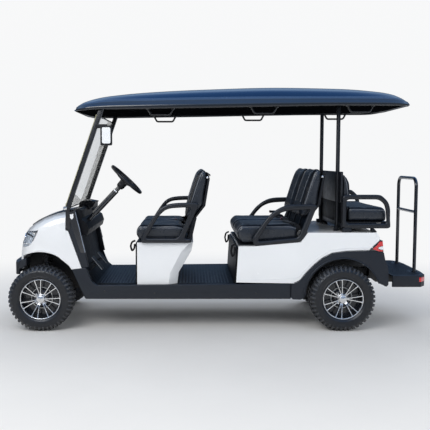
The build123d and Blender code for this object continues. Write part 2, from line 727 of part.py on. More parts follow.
def bench_frame(place, move, pan, stay):
    """Seat pan, stays and the shells behind the backs."""
    with BuildPart() as piece:
        for y_pair in STAY_Y:
            add(slab(stay, *y_pair))
        add(slab(place(shifted(BACK_SHELL, move)), BACK_SPLIT, SEAT_HALF - 20))
        mirror(about=Plane.XZ)
        add(slab(pan, -SEAT_HALF + 5, SEAT_HALF - 5))
    return piece.part


with BuildPart() as front_seat_frame:
    pan_z = (PEDESTAL_TOP + SEAT_GAP, PEDESTAL_TOP + PAN_T)
    pan = front([(850, pan_z[0]), (1325, pan_z[0]), (1325, pan_z[1]), (850, pan_z[1])])
    add(bench_frame(front, (0, 0), pan, front(FRONT_STAY)))
save(front_seat_frame, "front_seat_frame")

with BuildPart() as front_seat_cushions:
    add(slab(front(CUSHION), SPLIT, SEAT_HALF, radius=14))
    mirror(about=Plane.XZ)
save(front_seat_cushions, "front_seat_cushions")

with BuildPart() as front_seat_backs:
    add(slab(front(BACK), BACK_SPLIT, SEAT_HALF - 15))
    mirror(about=Plane.XZ)
save(front_seat_backs, "front_seat_backs")

# ---- arms of both benches -----------------------------------------------------------------------
FRONT_ARM = [
    (870, 776.3), (894, 848), (945, 934), (995, 1011), (1046, 1077), (1086, 1105), (1126, 1120),
    (1197, 1130), (1375, 1134), (1392, 1118), (1385, 1090), (1300, 900), (1262, 815),
    (1326, 815), (1326, 776.3),
]
FRONT_ARM_GAP = [
    (925, 818), (945, 848), (995, 940), (1046, 1021), (1096, 1067), (1147, 1083),
    (1263, 1090), (1330, 1088), (1250, 900), (1205, 818),
]
MIDDLE_ARM = [
    (-784, 765), (-800, 812), (-721, 928), (-654, 1016), (-588, 1070), (-521, 1103), (-454, 1115),
    (-253, 1120), (-225, 1100), (-240, 1072), (-315, 880),
]
MIDDLE_ARM_GAP = [
    (-745, 795), (-739, 815), (-654, 955), (-587, 1023), (-520, 1054), (-453, 1064),
    (-299, 1072), (-292, 1066), (-392, 825), (-719, 792),
]

with BuildPart() as seat_arms:
    middle_foot = shifted(reversed(BODY_LINE[1:]), (0, SEAT_GAP))
    for place, outline, gap in (
        (front, FRONT_ARM, FRONT_ARM_GAP),
        (rear, MIDDLE_ARM + middle_foot, MIDDLE_ARM_GAP),
    ):
        with BuildPart(mode=Mode.PRIVATE) as loop:
            add(slab(place(outline), *ARM_Y))
            add(slab(place(gap), *ARM_Y), mode=Mode.SUBTRACT)
        add(loop.part)
    mirror(about=Plane.XZ)
save(seat_arms, "seat_arms")

# ---- rear body ----------------------------------------------------------------------------------
SIDE = [(KICK_X, ROCKER_TOP[1] + 11)] + BODY_LINE + [
    (-305, DECK_Z), (300, DECK_Z), (323, 824), (318, 798), (248, 733),
]

with BuildPart() as rear_body:
    add(slab(rear(SIDE + FLARE_SEAM), BODY_HALF - WALL, BODY_HALF))
    mirror(about=Plane.XZ)
    wall_foot = FLARE_SEAM[0][1] + 5
    upper = BODY_LINE + [(-305, DECK_Z), (300, DECK_Z), (323, 824), (REAR_WALL, 798), (REAR_WALL, wall_foot)]
    lower = [(REAR_WALL - SKIN, wall_foot), (REAR_WALL - SKIN, 798), (307, 822), (290, DECK_Z - SKIN)]
    lower += [(-298, DECK_Z - SKIN), (-360, 770), (-772, 733), (-918, 732)]
    add(slab(rear(upper + lower), -BODY_HALF + WALL - 1, BODY_HALF - WALL + 1))
    wall_x = (REAR_AXLE + REAR_WALL - SKIN, REAR_AXLE + REAR_WALL)
    add(block(wall_x, (-FLARE_IN + SEAT_GAP, FLARE_IN - SEAT_GAP), (520, wall_foot + 1)))
save(rear_body, "rear_body")

LAMP_REAR = 357
LAMP_Z = (VALANCE_TOP + 7, 799)
LAMP_FOOT = (318.3, 701.5)  # where the lamp passes the body's rear wall

with BuildPart() as taillights:
    wrap = [
        (232, LAMP_Z[0] + 13), (250, 733.5), (REAR_WALL + 0.5, 797), (REAR_WALL + 1, LAMP_Z[1]),
        (349, LAMP_Z[1]),
    ]
    wrap += [(LAMP_REAR + 2, LAMP_Z[0])]
    add(slab(rear(wrap), BODY_HALF - WALL + 1, BODY_HALF))
    inner = [LAMP_FOOT, (LAMP_FOOT[0], LAMP_Z[1]), (347, LAMP_Z[1]), (LAMP_REAR, LAMP_Z[0])]
    add(slab(rear(inner), 430, BODY_HALF - WALL + 1))
    mirror(about=Plane.XZ)
save(taillights, "taillights")

# ---- middle bench ---------------------------------------------------------------------------------
MIDDLE_PAN = [
    (-915, 747.3),
    (-772, 748.3),
    (-370.3, 784.3),
    (-350, 811.6),
    (-358, 812),
    (-372, 796.5),
    (-772, 760.3),
    (-915, 759.3),
]
MIDDLE_STAY = [(-368.5, 786.6), (-315.3, 858.3), (-269, 998), (-291, 998)]
MIDDLE_CUSHION = [
    (-947, 868),
    (-938, 898),
    (-900, 932),
    (-450, 935),
    (-376, 915),
    (-376, 796.5),
    (-772, 760.6),
    (-891, 759.9),
    (-930, 800),
]

with BuildPart() as middle_seat_frame:
    add(bench_frame(rear, MIDDLE_SHIFT, rear(MIDDLE_PAN), rear(MIDDLE_STAY)))
save(middle_seat_frame, "middle_seat_frame")

with BuildPart() as middle_seat_cushions:
    add(slab(rear(MIDDLE_CUSHION), SPLIT, SEAT_HALF, radius=12))
    mirror(about=Plane.XZ)
save(middle_seat_cushions, "middle_seat_cushions")

with BuildPart() as middle_seat_backs:
    add(slab(rear(shifted(BACK, MIDDLE_SHIFT)), BACK_SPLIT, SEAT_HALF - 15))
    mirror(about=Plane.XZ)
save(middle_seat_backs, "middle_seat_backs")

# ---- rear seat frame with roof posts, back and flip seat ----------------------------------------------
POST_X = -10  # from the rear axle
POST_Y = 380
POST_R = 18
BAR_Y = (CABIN_HALF - 40, CABIN_HALF)
BAR_Z = (901, 946)
HINGE = (375, 938)  # flip seat pivot, from the rear axle
HINGE_R = 6
FLIP_HALF = BAR_Y[0] - 10
REAR_BACK_HALF = FLIP_HALF - 10
FLIP_X = (52, 420)

with BuildPart() as rear_seat_frame:
    post_top = lip_z(WHEELBASE + POST_X) + LINER_DROP - SEAT_GAP
    add(rod((REAR_AXLE + POST_X, POST_Y, DECK_Z + SEAT_GAP), (REAR_AXLE + POST_X, POST_Y, post_top), POST_R))
    add(slab(rear([(0, BAR_Z[0]), (428, BAR_Z[0]), (428, BAR_Z[1]), (0, BAR_Z[1])]), *BAR_Y))
    add(slab(rear([(0, 940), (36, 940), (36, 1180), (0, 1180)]), *BAR_Y))
    arm = [
        (0, 1158), (320, 1158), (372, 1120), (388, 1060), (398, 940), (424, 940), (424, 1075),
        (404, 1140), (345, 1195), (310, 1200), (0, 1200),
    ]
    add(slab(rear(arm), *BAR_Y))
    foot = [(5, DECK_Z + SEAT_GAP), (85, DECK_Z + SEAT_GAP), (85, BAR_Z[0] + 1), (5, BAR_Z[0] + 1)]
    add(slab(rear(foot), BAR_Y[0] - 40, CABIN_HALF))
    hinge_x = REAR_AXLE + HINGE[0]
    add(rod((hinge_x, BAR_Y[0] + 1, HINGE[1]), (hinge_x, FLIP_HALF - 12, HINGE[1]), HINGE_R))
    mirror(about=Plane.XZ)
    rest_z = BAR_Z[1] - SEAT_GAP
    add(slab(rear([(0, BAR_Z[0]), (66, BAR_Z[0]), (66, rest_z), (0, rest_z)]), -BAR_Y[0] - 1, BAR_Y[0] + 1))
    add(slab(rear([(-6, 1125), (14, 1125), (14, 1402), (-6, 1402)]), -REAR_BACK_HALF, REAR_BACK_HALF))
save(rear_seat_frame, "rear_seat_frame")

REAR_BACK = [(14, 1135), (70, 1135), (84, 1165), (86, 1190), (76, 1300), (52, 1356), (22, 1404), (14, 1404)]

with BuildPart() as rear_seat_backs:
    add(slab(rear(shifted(REAR_BACK, (SEAT_GAP, 0))), BACK_SPLIT, REAR_BACK_HALF))
    mirror(about=Plane.XZ)
save(rear_seat_backs, "rear_seat_backs")

with BuildPart() as flip_seat_board:
    flip_x = (REAR_AXLE + FLIP_X[0], REAR_AXLE + FLIP_X[1])
    add(block(flip_x, (0, FLIP_HALF), (BAR_Z[1], BAR_Z[1] + 10)))
    ear_x = (REAR_AXLE + HINGE[0] - 20, REAR_AXLE + HINGE[0] + 20)
    add(block(ear_x, (FLIP_HALF - 8, FLIP_HALF), (HINGE[1] - 18, BAR_Z[1] + 1)))
    bore = rod(
        (REAR_AXLE + HINGE[0], FLIP_HALF - 20, HINGE[1]),
        (REAR_AXLE + HINGE[0], FLIP_HALF + 5, HINGE[1]), HINGE_R + PIN_PLAY,
    )
    add(bore, mode=Mode.SUBTRACT)
    mirror(about=Plane.XZ)
save(flip_seat_board, "flip_seat_board")

with BuildPart() as flip_seat_cushion:
    z_low = BAR_Z[1] + 10 + SEAT_GAP
    outline = rear([(FLIP_X[0], z_low), (FLIP_X[1], z_low), (FLIP_X[1], 1086), (FLIP_X[0], 1086)])
    add(slab(outline, -FLIP_HALF, FLIP_HALF))
    fillet(flip_seat_cushion.edges().filter_by(Axis.Y).group_by(Axis.Z)[-1], 55)
save(flip_seat_cushion, "flip_seat_cushion")

# ---- step and grab bar ------------------------------------------------------------------------------
STEP_FRONT = 481
STEP_HALF = 470
STEP_BOTTOM = 360
STEP_SKIRT = 15
GRAB_X = REAR_REACH - 65
GRAB_Y = 262
GRAB_R = 16
GRAB_TOP = 1336
CROSS_Z = 1024
GRAB_BEND = 80

with BuildPart() as rear_step:
    edge = [
        (STEP_FRONT, -STEP_HALF), (REAR_REACH - 70, -STEP_HALF), (REAR_REACH - 18, -STEP_HALF + 60),
        (REAR_REACH, -250),
    ]
    outline = edge + [(x, -y) for x, y in reversed(edge)]
    extrude(top_view([(REAR_AXLE + x, y) for x, y in outline], STEP_BOTTOM), amount=STEP_TOP - STEP_BOTTOM)
    well = [
        (REAR_AXLE + STEP_FRONT - 10, -STEP_HALF + STEP_SKIRT),
        (REAR_AXLE + REAR_REACH - 70 - 6, -STEP_HALF + STEP_SKIRT),
    ]
    well += [
        (REAR_AXLE + REAR_REACH - 18 - STEP_SKIRT, -STEP_HALF + 64),
        (REAR_AXLE + REAR_REACH - STEP_SKIRT, -250),
    ]
    well += [(x, -y) for x, y in reversed(well)]
    with BuildPart(mode=Mode.PRIVATE) as hollow:
        extrude(top_view(well, STEP_BOTTOM), amount=STEP_TOP - STEP_PLATE - STEP_BOTTOM)
    add(hollow.part, mode=Mode.SUBTRACT)
save(rear_step, "rear_step")

with BuildPart() as grab_bar:
    x = REAR_AXLE + GRAB_X
    with BuildLine(Plane.YZ.offset(x)) as hoop:
        corners = [(-GRAB_Y, STEP_TOP), (-GRAB_Y, GRAB_TOP), (GRAB_Y, GRAB_TOP), (GRAB_Y, STEP_TOP)]
        FilletPolyline(*corners, radius=GRAB_BEND)
    with BuildSketch(Plane.XY.offset(STEP_TOP)):
        with Locations((x, -GRAB_Y)):
            Circle(GRAB_R)
    sweep(path=hoop.line)
    add(rod((x, -GRAB_Y, CROSS_Z), (x, GRAB_Y, CROSS_Z), GRAB_R - 2))
    for y in (-GRAB_Y, GRAB_Y):
        add(rod((x, y, STEP_TOP), (x, y, STEP_TOP + 6), 30))
save(grab_bar, "grab_bar")

# ---- wheels -------------------------------------------------------------------------------------------
# tyre half section: radius, distance from the centre plane
TYRE_SECTION = [
    (RIM_R + 0.2, 0.43 * TYRE_WIDTH),
    ((RIM_R + TYRE_R) / 2, TYRE_WIDTH / 2),
    (TYRE_R - 20, 0.468 * TYRE_WIDTH),
    (TYRE_R, 0.37 * TYRE_WIDTH),
]
RIM_WALL = 9
RIM_LIP_Y = 89.5
SPOKE_COUNT = 14
HUB_R = 38
WHEELS = [
    ("front_left", FRONT_AXLE, -1), ("front_right", FRONT_AXLE, 1), ("rear_left", REAR_AXLE, -1),
    ("rear_right", REAR_AXLE, 1),
]

for name, x, side in WHEELS:
    centre = (x, side * WHEEL_Y, TYRE_R)
    axle = Axis(centre, (0, 1, 0))
    with BuildPart() as tyre:
        half = [(x + r, side * WHEEL_Y + w) for r, w in TYRE_SECTION]
        other = [(x + r, side * WHEEL_Y - w) for r, w in reversed(TYRE_SECTION)]
        revolve(top_view(half + other, TYRE_R), axis=axle)
    save(tyre, f"{name}_tyre")

    with BuildPart(Plane(origin=centre, x_dir=(1, 0, 0), z_dir=(0, side, 0))) as rim:
        with Locations((0, 0, -RIM_LIP_Y)):
            Cylinder(RIM_R, 2 * RIM_LIP_Y, align=(Align.CENTER, Align.CENTER, Align.MIN))
        with Locations((0, 0, -RIM_LIP_Y)):
            Cylinder(
                RIM_R - RIM_WALL, 2 * RIM_LIP_Y, align=(Align.CENTER, Align.CENTER, Align.MIN),
                mode=Mode.SUBTRACT,
            )
        with Locations((0, 0, -24)):
            Cylinder(HUB_R, 100, align=(Align.CENTER, Align.CENTER, Align.MIN))
        with PolarLocations(0, SPOKE_COUNT):
            with Locations((HUB_R - 6, 0, RIM_LIP_Y - 28)):
                Box(RIM_R - HUB_R + 2, 12, 22, align=(Align.MIN, Align.CENTER, Align.MIN))
        with Locations((0, 0, -25)):
            depth = SPINDLE_END - WHEEL_Y + 26
            Cylinder(
                SPINDLE_R + PIN_PLAY, depth, align=(Align.CENTER, Align.CENTER, Align.MIN),
                mode=Mode.SUBTRACT,
            )
    save(rim, f"{name}_rim")
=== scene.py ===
"""Looks for the six-seat golf cart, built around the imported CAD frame.

Metres, in the row frame: X runs rearward, Y to the cart's right, Z up.
"""

import json
import math

import bmesh
import bpy
import numpy as np
from mathutils import Matrix, Vector
from mathutils.bvhtree import BVHTree
from mathutils.kdtree import KDTree


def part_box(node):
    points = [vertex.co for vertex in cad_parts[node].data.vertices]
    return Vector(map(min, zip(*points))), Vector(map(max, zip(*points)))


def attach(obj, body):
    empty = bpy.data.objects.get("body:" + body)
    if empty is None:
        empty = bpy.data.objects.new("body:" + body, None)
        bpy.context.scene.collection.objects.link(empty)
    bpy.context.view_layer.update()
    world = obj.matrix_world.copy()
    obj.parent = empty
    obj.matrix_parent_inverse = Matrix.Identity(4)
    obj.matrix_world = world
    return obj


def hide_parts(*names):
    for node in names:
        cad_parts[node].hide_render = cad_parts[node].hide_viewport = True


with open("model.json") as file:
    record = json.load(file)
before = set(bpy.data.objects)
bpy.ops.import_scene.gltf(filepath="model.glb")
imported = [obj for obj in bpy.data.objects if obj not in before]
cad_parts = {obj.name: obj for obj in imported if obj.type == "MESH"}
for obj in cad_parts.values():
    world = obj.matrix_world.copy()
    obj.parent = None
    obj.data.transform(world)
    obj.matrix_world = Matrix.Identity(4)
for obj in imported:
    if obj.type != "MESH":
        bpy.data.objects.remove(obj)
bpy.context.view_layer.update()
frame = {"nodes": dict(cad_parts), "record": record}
NODES = frame["nodes"]
CHASSIS = "chassis"
AXLE_FRONT = sum(v.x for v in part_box("front_left_tyre")) / 2
AXLE_REAR = sum(v.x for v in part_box("rear_left_tyre")) / 2
WHEEL_Z = sum(v.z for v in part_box("rear_left_tyre")) / 2
WHEEL_Y = sum(v.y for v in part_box("rear_right_tyre")) / 2
SLOTS = {part["node"]: part["material_slot"] for part in frame["record"]["subparts"]}
SIDES = (-1, 1)  # the cart's left and right


def front(x, z=None):
    """A place in millimetres from the front axle and the floor, in metres of the row frame."""
    return AXLE_FRONT + x / 1000 if z is None else (AXLE_FRONT + x / 1000, z / 1000)


def rear(x, z=None):
    """The same from the rear axle."""
    return AXLE_REAR + x / 1000 if z is None else (AXLE_REAR + x / 1000, z / 1000)


def outline_at(at, points):
    return [at(x, z) for x, z in points]


# ---------------------------------------------------------------- material helpers
def new_material(name):
    mat = bpy.data.materials.new(name)
    mat.use_nodes = True
    tree = mat.node_tree
    return mat, tree, tree.nodes["Principled BSDF"]


def set_inputs(tree, node, inputs):
    """Give a node its inputs, each a value or a socket to link."""
    for key, value in inputs.items():
        if isinstance(value, bpy.types.NodeSocket):
            tree.links.new(value, node.inputs[key])
        else:
            node.inputs[key].default_value = value


def add_node(tree, kind, inputs=None, **settings):
    node = tree.nodes.new(kind)
    for key, value in settings.items():
        setattr(node, key, value)
    set_inputs(tree, node, inputs or {})
    return node


def maths(tree, operation, a, b):
    return add_node(tree, "ShaderNodeMath", {0: a, 1: b}, operation=operation).outputs[0]


def colour_mix(tree, fac, a, b, **settings):
    node = add_node(tree, "ShaderNodeMix", {"Factor": fac, "A": a, "B": b}, data_type="RGBA", **settings)
    return node.outputs["Result"]


def parts_of(tree, vector):
    return add_node(tree, "ShaderNodeSeparateXYZ", {"Vector": vector}).outputs


def object_space(tree):
    return add_node(tree, "ShaderNodeTexCoord").outputs["Object"]


def noise(tree, scale, detail, rough=0.6):
    """Noise in object space, whose grain doesn't depend on UVs."""
    inputs = {"Scale": scale, "Detail": detail, "Roughness": rough, "Vector": object_space(tree)}
    return add_node(tree, "ShaderNodeTexNoise", inputs).outputs["Fac"]


def ramp(tree, fac, *stops):
    """A colour for each level, from (level, colour) stops."""
    node = add_node(tree, "ShaderNodeValToRGB", {"Fac": fac})
    elements = node.color_ramp.elements
    elements[0].position, elements[0].color = stops[0]
    elements[1].position, elements[1].color = stops[-1]
    for position, colour in stops[1:-1]:
        elements.new(position).color = colour
    return node.outputs["Color"]


def cloudy(tree, scale, detail, low, high, rough=0.6):
    """Colours between two, in soft patches."""
    return ramp(tree, noise(tree, scale, detail, rough), (0.3, low), (0.7, high))


def grey(value):
    return (value, value, value, 1)


def tint(colour, k):
    return (colour[0] * k, colour[1] * k, colour[2] * k, 1)


ROAD_DUST = (0.24, 0.21, 0.17, 1)
BUMP_DEPTH = 0.0006
SHEEN_ROUGH = 0.4


def dusted(tree, base, top, strength):
    """Road dust over a colour, strongest at the floor and gone at the height top."""
    height = parts_of(tree, add_node(tree, "ShaderNodeNewGeometry").outputs["Position"])["Z"]
    fade = {"From Min": top, "From Max": 0.0, "To Min": 0.0, "To Max": strength, "Value": height}
    fade = add_node(tree, "ShaderNodeMapRange", fade).outputs["Result"]
    speck = ramp(tree, noise(tree, 38.0, 8.0, 0.7), (0.35, grey(0.15)), (0.75, grey(1.0)))
    return colour_mix(tree, maths(tree, "MULTIPLY", fade, speck), base, ROAD_DUST)


def surface(
    name, colour, rough, vary, cloud, grain, depth, rough_vary=0.06, metallic=0.0, coat=0.0, coat_rough=0.05,
    sheen=0.0, specular=0.5, dust=None, pebbled=False,
):
    """A painted, moulded or sewn surface with soft clouds in its colour and a bump of fine grain.

    After the colour and the roughness come how far the clouds vary the colour, the clouds' scale, and the
    grain's scale and depth. dust is the height where road dust ends, and its strength at the floor. The
    roughness has clouds of its own, finer than the colour's; a pebbled grain is made of small cells.
    """
    mat, tree, shader = new_material(name)
    base = cloudy(tree, cloud, 6.0, tint(colour, 1 - vary), tint(colour, 1 + vary))
    if dust:
        base = dusted(tree, base, *dust)
    low, high = max(0.02, rough - rough_vary), min(1, rough + rough_vary)
    if pebbled:
        cells = add_node(
            tree, "ShaderNodeTexVoronoi", {"Scale": grain, "Vector": object_space(tree)}, feature="DISTANCE_TO_EDGE",
        )
        height = cells.outputs["Distance"]
    else:
        height = noise(tree, grain, 3.0)
    bump = add_node(tree, "ShaderNodeBump", {"Strength": depth, "Distance": BUMP_DEPTH, "Height": height})
    inputs = {
        "Base Color": base, "Roughness": cloudy(tree, cloud * 2.3, 5.0, grey(low), grey(high)), "Metallic": metallic,
        "Specular IOR Level": specular, "Normal": bump.outputs["Normal"],
    }
    if coat:
        inputs.update({"Coat Weight": coat, "Coat Roughness": coat_rough})
    if sheen:
        inputs.update({"Sheen Weight": sheen, "Sheen Roughness": SHEEN_ROUGH})
    set_inputs(tree, shader, inputs)
    return mat


def clear_material(name, colour, ior):
    """A clear moulding, with faint smears in its roughness."""
    mat, tree, shader = new_material(name)
    set_inputs(tree, shader, {
        "Base Color": cloudy(tree, 6.0, 5.0, tint(colour, 0.985), tint(colour, 1.0)),
        "Roughness": cloudy(tree, 5.0, 7.0, grey(0.0), grey(0.05), 0.7), "Transmission Weight": 1.0, "IOR": ior,
    })
    return mat


def paint_reflection_by_slope(mat, *stops):
    """Paint a finish's colour by the steepness of its faces, from upright (0) to level (1), as a painted sky
    reflection.
    """
    tree = mat.node_tree
    level = parts_of(tree, add_node(tree, "ShaderNodeNewGeometry").outputs["Normal"])["Z"]
    painted_reflection = colour_mix(
        tree, 1.0, ramp(tree, level, *stops), cloudy(tree, 2.5, 6.0, grey(0.93), grey(1.0)), blend_type="MULTIPLY",
    )
    tree.links.new(painted_reflection, tree.nodes["Principled BSDF"].inputs["Base Color"])


# ---------------------------------------------------------------- materials
WHITE = surface(
    "white_gelcoat", (0.79, 0.81, 0.835), 0.24, 0.012, 3.0, 260, 0.03, rough_vary=0.04, coat=0.7, coat_rough=0.04,
    dust=(0.62, 0.05),
)
GREY_TRIM = surface(
    "grey_moulded_trim", (0.0085, 0.0115, 0.0175), 0.44, 0.06, 7.0, 1400, 0.22, specular=0.42, dust=(0.45, 0.05),
)
BLACK_TRIM = surface(
    "black_moulded_trim", (0.0050, 0.0058, 0.0080), 0.42, 0.10, 8.0, 1500, 0.2, specular=0.34, dust=(0.45, 0.03),
)
DARK_INSIDE = surface("dark_cabin_moulding", (0.0016, 0.0021, 0.0034), 0.52, 0.12, 9.0, 1300, 0.25, specular=0.18)
SATIN_BLACK = surface(
    "satin_black_paint", (0.0065, 0.0072, 0.0092), 0.28, 0.08, 6.0, 700, 0.05, coat=0.25, coat_rough=0.2,
    dust=(0.40, 0.06),
)
ARM_BLACK = surface("arm_moulded_black", (0.0070, 0.0085, 0.0120), 0.36, 0.08, 9.0, 1500, 0.2, specular=0.5)
FRAME_BLACK = surface("chassis_black_paint", (0.009, 0.009, 0.010), 0.45, 0.15, 12.0, 500, 0.12, dust=(0.6, 0.18))
# the lighter blue on the roof's crease faces is a painted highlight
ROOF_CREASE_HIGHLIGHT = surface("roof_crease_painted_highlight", (0.038, 0.070, 0.135), 0.22, 0.05, 2.5, 900, 0.02)
ROOF_BLACK = surface(
    "roof_gloss_black", (0.0040, 0.0085, 0.0190), 0.20, 0.05, 2.5, 300, 0.02, rough_vary=0.03, coat=0.55,
    coat_rough=0.09,
)
GLOSS_BLACK = surface(
    "gloss_black", (0.008, 0.009, 0.012), 0.14, 0.05, 4.0, 300, 0.02, rough_vary=0.03, coat=0.8, coat_rough=0.05,
)
VINYL = surface(
    "seat_vinyl_black", (0.0052, 0.0064, 0.0096), 0.36, 0.10, 10.0, 620, 0.35, rough_vary=0.07, sheen=0.02,
    specular=0.36, pebbled=True,
)
# slate vinyl of the seats' side panels: its lighter, bluer colour is partly the vinyl's own and partly a painted sky
# reflection
VINYL_SIDE_PAINTED_SHEEN = surface(
    "seat_vinyl_slate_painted_sheen", (0.0135, 0.0175, 0.0250), 0.29, 0.05, 7.0, 620, 0.2, rough_vary=0.04, sheen=0.04, specular=0.6,
    pebbled=True,
)
VINYL_PANEL = surface(
    "seat_vinyl_panel", (0.0034, 0.0044, 0.0070), 0.46, 0.10, 14.0, 330, 0.5, rough_vary=0.06, sheen=0.02,
    specular=0.28, pebbled=True,
)
PIPING = surface("seat_piping_grey", (0.15, 0.165, 0.19), 0.45, 0.05, 30, 1800, 0.2)
MAT_RUBBER = surface("floor_mat_rubber", (0.0030, 0.0046, 0.0080), 0.48, 0.15, 14, 900, 0.3, specular=0.22)
# lighter rubber for the mat's ribs: a painted highlight on their tops
RIB_HIGHLIGHT_RUBBER = surface("floor_mat_ribs_painted_highlight", (0.0200, 0.0270, 0.0390), 0.50, 0.22, 30, 900, 0.3, specular=0.30)
GRIP = surface("soft_grip", (0.0090, 0.0095, 0.0115), 0.42, 0.08, 20, 1500, 0.35, specular=0.45)
PEDAL_PAD = surface("pedal_pad_grey", (0.13, 0.145, 0.16), 0.45, 0.10, 40, 900, 0.2)
TREAD = surface("tyre_tread_rubber", (0.0250, 0.0290, 0.0360), 0.58, 0.18, 22, 700, 0.35, dust=(1.2, 0.16))
SIDEWALL = surface("tyre_sidewall_rubber", (0.0040, 0.0052, 0.0080), 0.36, 0.12, 16, 900, 0.2, dust=(0.9, 0.04))
MACHINED = surface("machined_alloy", (0.78, 0.775, 0.77), 0.22, 0.03, 30, 900, 0.03, metallic=1.0, coat=0.3)
CHROME = surface("chrome", (0.86, 0.87, 0.88), 0.07, 0.02, 20, 500, 0.01, metallic=1.0)
LAMP_BOWL = surface("lamp_bowl_silver", (0.42, 0.48, 0.56), 0.20, 0.20, 24, 500, 0.03, metallic=0.35, coat=0.6)
ZINC = surface("zinc_plate", (0.52, 0.52, 0.50), 0.36, 0.10, 40, 900, 0.1, metallic=1.0)
RIM_POCKET = surface("rim_pocket_black", (0.008, 0.010, 0.014), 0.25, 0.08, 16, 700, 0.04, coat=0.4)
RUST_STEEL = surface("bare_steel", (0.22, 0.19, 0.16), 0.55, 0.2, 30, 500, 0.25, metallic=0.8)
BELT = surface("belt_webbing", (0.0055, 0.0058, 0.0072), 0.62, 0.12, 60, 2600, 0.5, sheen=0.1, specular=0.2)
BUCKLE_RED = surface("buckle_red", (0.52, 0.020, 0.018), 0.35, 0.05, 30, 900, 0.05)
LINER_CLOTH = surface("roof_liner_board", (0.0042, 0.0045, 0.0055), 0.9, 0.12, 9, 1200, 0.3, specular=0.0)
# a pale blue-grey gloss for the pillar trim's rear edge: a painted highlight
EDGE_HIGHLIGHT = surface("trim_edge_painted_highlight", (0.20, 0.24, 0.31), 0.18, 0.30, 9, 300, 0.02, coat=0.8)
GLASS = clear_material("windshield_acrylic", (0.975, 0.985, 0.98), 1.3)
GLASS_EDGE = surface("acrylic_cut_edge", (0.62, 0.60, 0.38), 0.35, 0.05, 20, 700, 0.05)
LAMP_CLEAR = clear_material("lamp_cover_clear", (0.97, 0.98, 1.0), 1.35)
LAMP_RED = surface("lamp_lens_red", (0.55, 0.012, 0.014), 0.12, 0.06, 30, 160, 0.2, coat=0.8)
LAMP_WHITE = surface("lamp_lens_white", (0.72, 0.74, 0.78), 0.14, 0.05, 30, 160, 0.2, coat=0.8)
# the mirror is a pale gloss instead of a reflecting metal: a painted reflection
MIRROR_PAINTED_REFLECTION = surface("mirror_painted_reflection", (0.84, 0.87, 0.90), 0.06, 0.01, 5, 100, 0.004, coat=1.0)
DIAL_FACE = surface("instrument_screen", (0.010, 0.014, 0.022), 0.08, 0.1, 30, 100, 0.01, coat=0.9)
# the roof's colour by steepness is a painted sky reflection: near black on upright faces, lighter blue on mid slopes
# and level faces, deep navy between
paint_reflection_by_slope(
    ROOF_BLACK, (0.0, (0.004, 0.006, 0.010, 1)), (0.25, (0.010, 0.018, 0.032, 1)), (0.55, (0.014, 0.026, 0.050, 1)),
    (0.68, (0.003, 0.012, 0.040, 1)), (0.90, (0.004, 0.014, 0.044, 1)), (1.0, (0.014, 0.026, 0.050, 1)),
)


# ---------------------------------------------------------------- mesh helpers
def in_scene(name, data):
    obj = bpy.data.objects.new(name, data)
    bpy.context.scene.collection.objects.link(obj)
    return obj


def hang(mesh, name, slot, mats, stands_for=(), body=CHASSIS):
    """Make an object of a finished mesh, and hang it on its CAD body."""
    obj = in_scene(name, mesh)
    for mat in mats:
        mesh.materials.append(mat)
    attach(obj, body)
    if stands_for:
        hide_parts(*stands_for)
    return obj


def show(bm, name, slot, mats, sharp=35, stands_for=(), body=CHASSIS):
    """Smooth a shape up to its sharp angles, and hang it on its CAD body."""
    mesh = bpy.data.meshes.new(name)
    bm.to_mesh(mesh)
    bm.free()
    mesh.shade_smooth()
    mesh.set_sharp_from_angle(angle=math.radians(sharp))
    return hang(mesh, name, slot, mats, stands_for, body)


def show_node(bm, node, mats, sharp=35, body=CHASSIS):
    """The same for the look of a whole CAD node."""
    return show(bm, node + "_look", SLOTS[node], mats, sharp, (node,), body)


def bevel(bm, width, segments=2, angle=28, edges=None):
    """Round the edges that are sharper than the angle, or the given ones."""
    if edges is None:
        edges = [e for e in bm.edges if len(e.link_faces) == 2 and e.calc_face_angle(0) > math.radians(angle)]
    if edges:
        bmesh.ops.bevel(
            bm, geom=edges, offset=width, segments=segments, profile=0.6, affect="EDGES", clamp_overlap=True,
        )


def round_turns(bm, radius):
    """Round the corners of a side outline one at a time, each as far as its neighbours leave room.

    A corner is an edge that runs across the cart between faces that turn by 0.3 to 2.4 radians.
    """
    turns = [
        e for e in bm.edges
        if len(e.link_faces) == 2 and 0.30 < e.calc_face_angle(0) < 2.4
        and abs((e.verts[0].co - e.verts[1].co).normalized().y) > 0.99
    ]
    for e in turns:
        if e.is_valid:
            room = min(o.calc_length() for v in e.verts for o in v.link_edges if o != e)
            reach = min(radius, 0.45 * room)
            if reach > 0.002:
                bmesh.ops.bevel(
                    bm, geom=[e], offset=reach, segments=5, profile=0.5, affect="EDGES", clamp_overlap=True,
                )


def welded(node):
    """A node's mesh with its loose facets joined."""
    bm = bmesh.new()
    bm.from_mesh(NODES[node].data)
    bmesh.ops.remove_doubles(bm, verts=bm.verts, dist=1e-5)
    return bm


def node_bmesh(node):
    """A node's mesh with its facets merged into whole faces."""
    bm = welded(node)
    bmesh.ops.dissolve_limit(
        bm, angle_limit=math.radians(0.6), use_dissolve_boundaries=False, verts=bm.verts, edges=bm.edges,
    )
    return bm


def add_face(bm, verts, mat=0):
    face = bm.faces.new(verts)
    face.material_index = mat
    return face


def bridge(bm, rings, mat=0, closed=False):
    """Join each ring of vertices to the next, and the last to the first if closed."""
    faces = []
    for a, b in zip(rings, rings[1:] + (rings[:1] if closed else [])):
        for k in range(len(a)):
            j = (k + 1) % len(a)
            faces.append(add_face(bm, (a[k], a[j], b[j], b[k]), mat))
    return faces


def cap(bm, rings, mat=0):
    """Close the first and the last ring."""
    return [add_face(bm, ring, mat) for ring in (rings[0], rings[-1])]


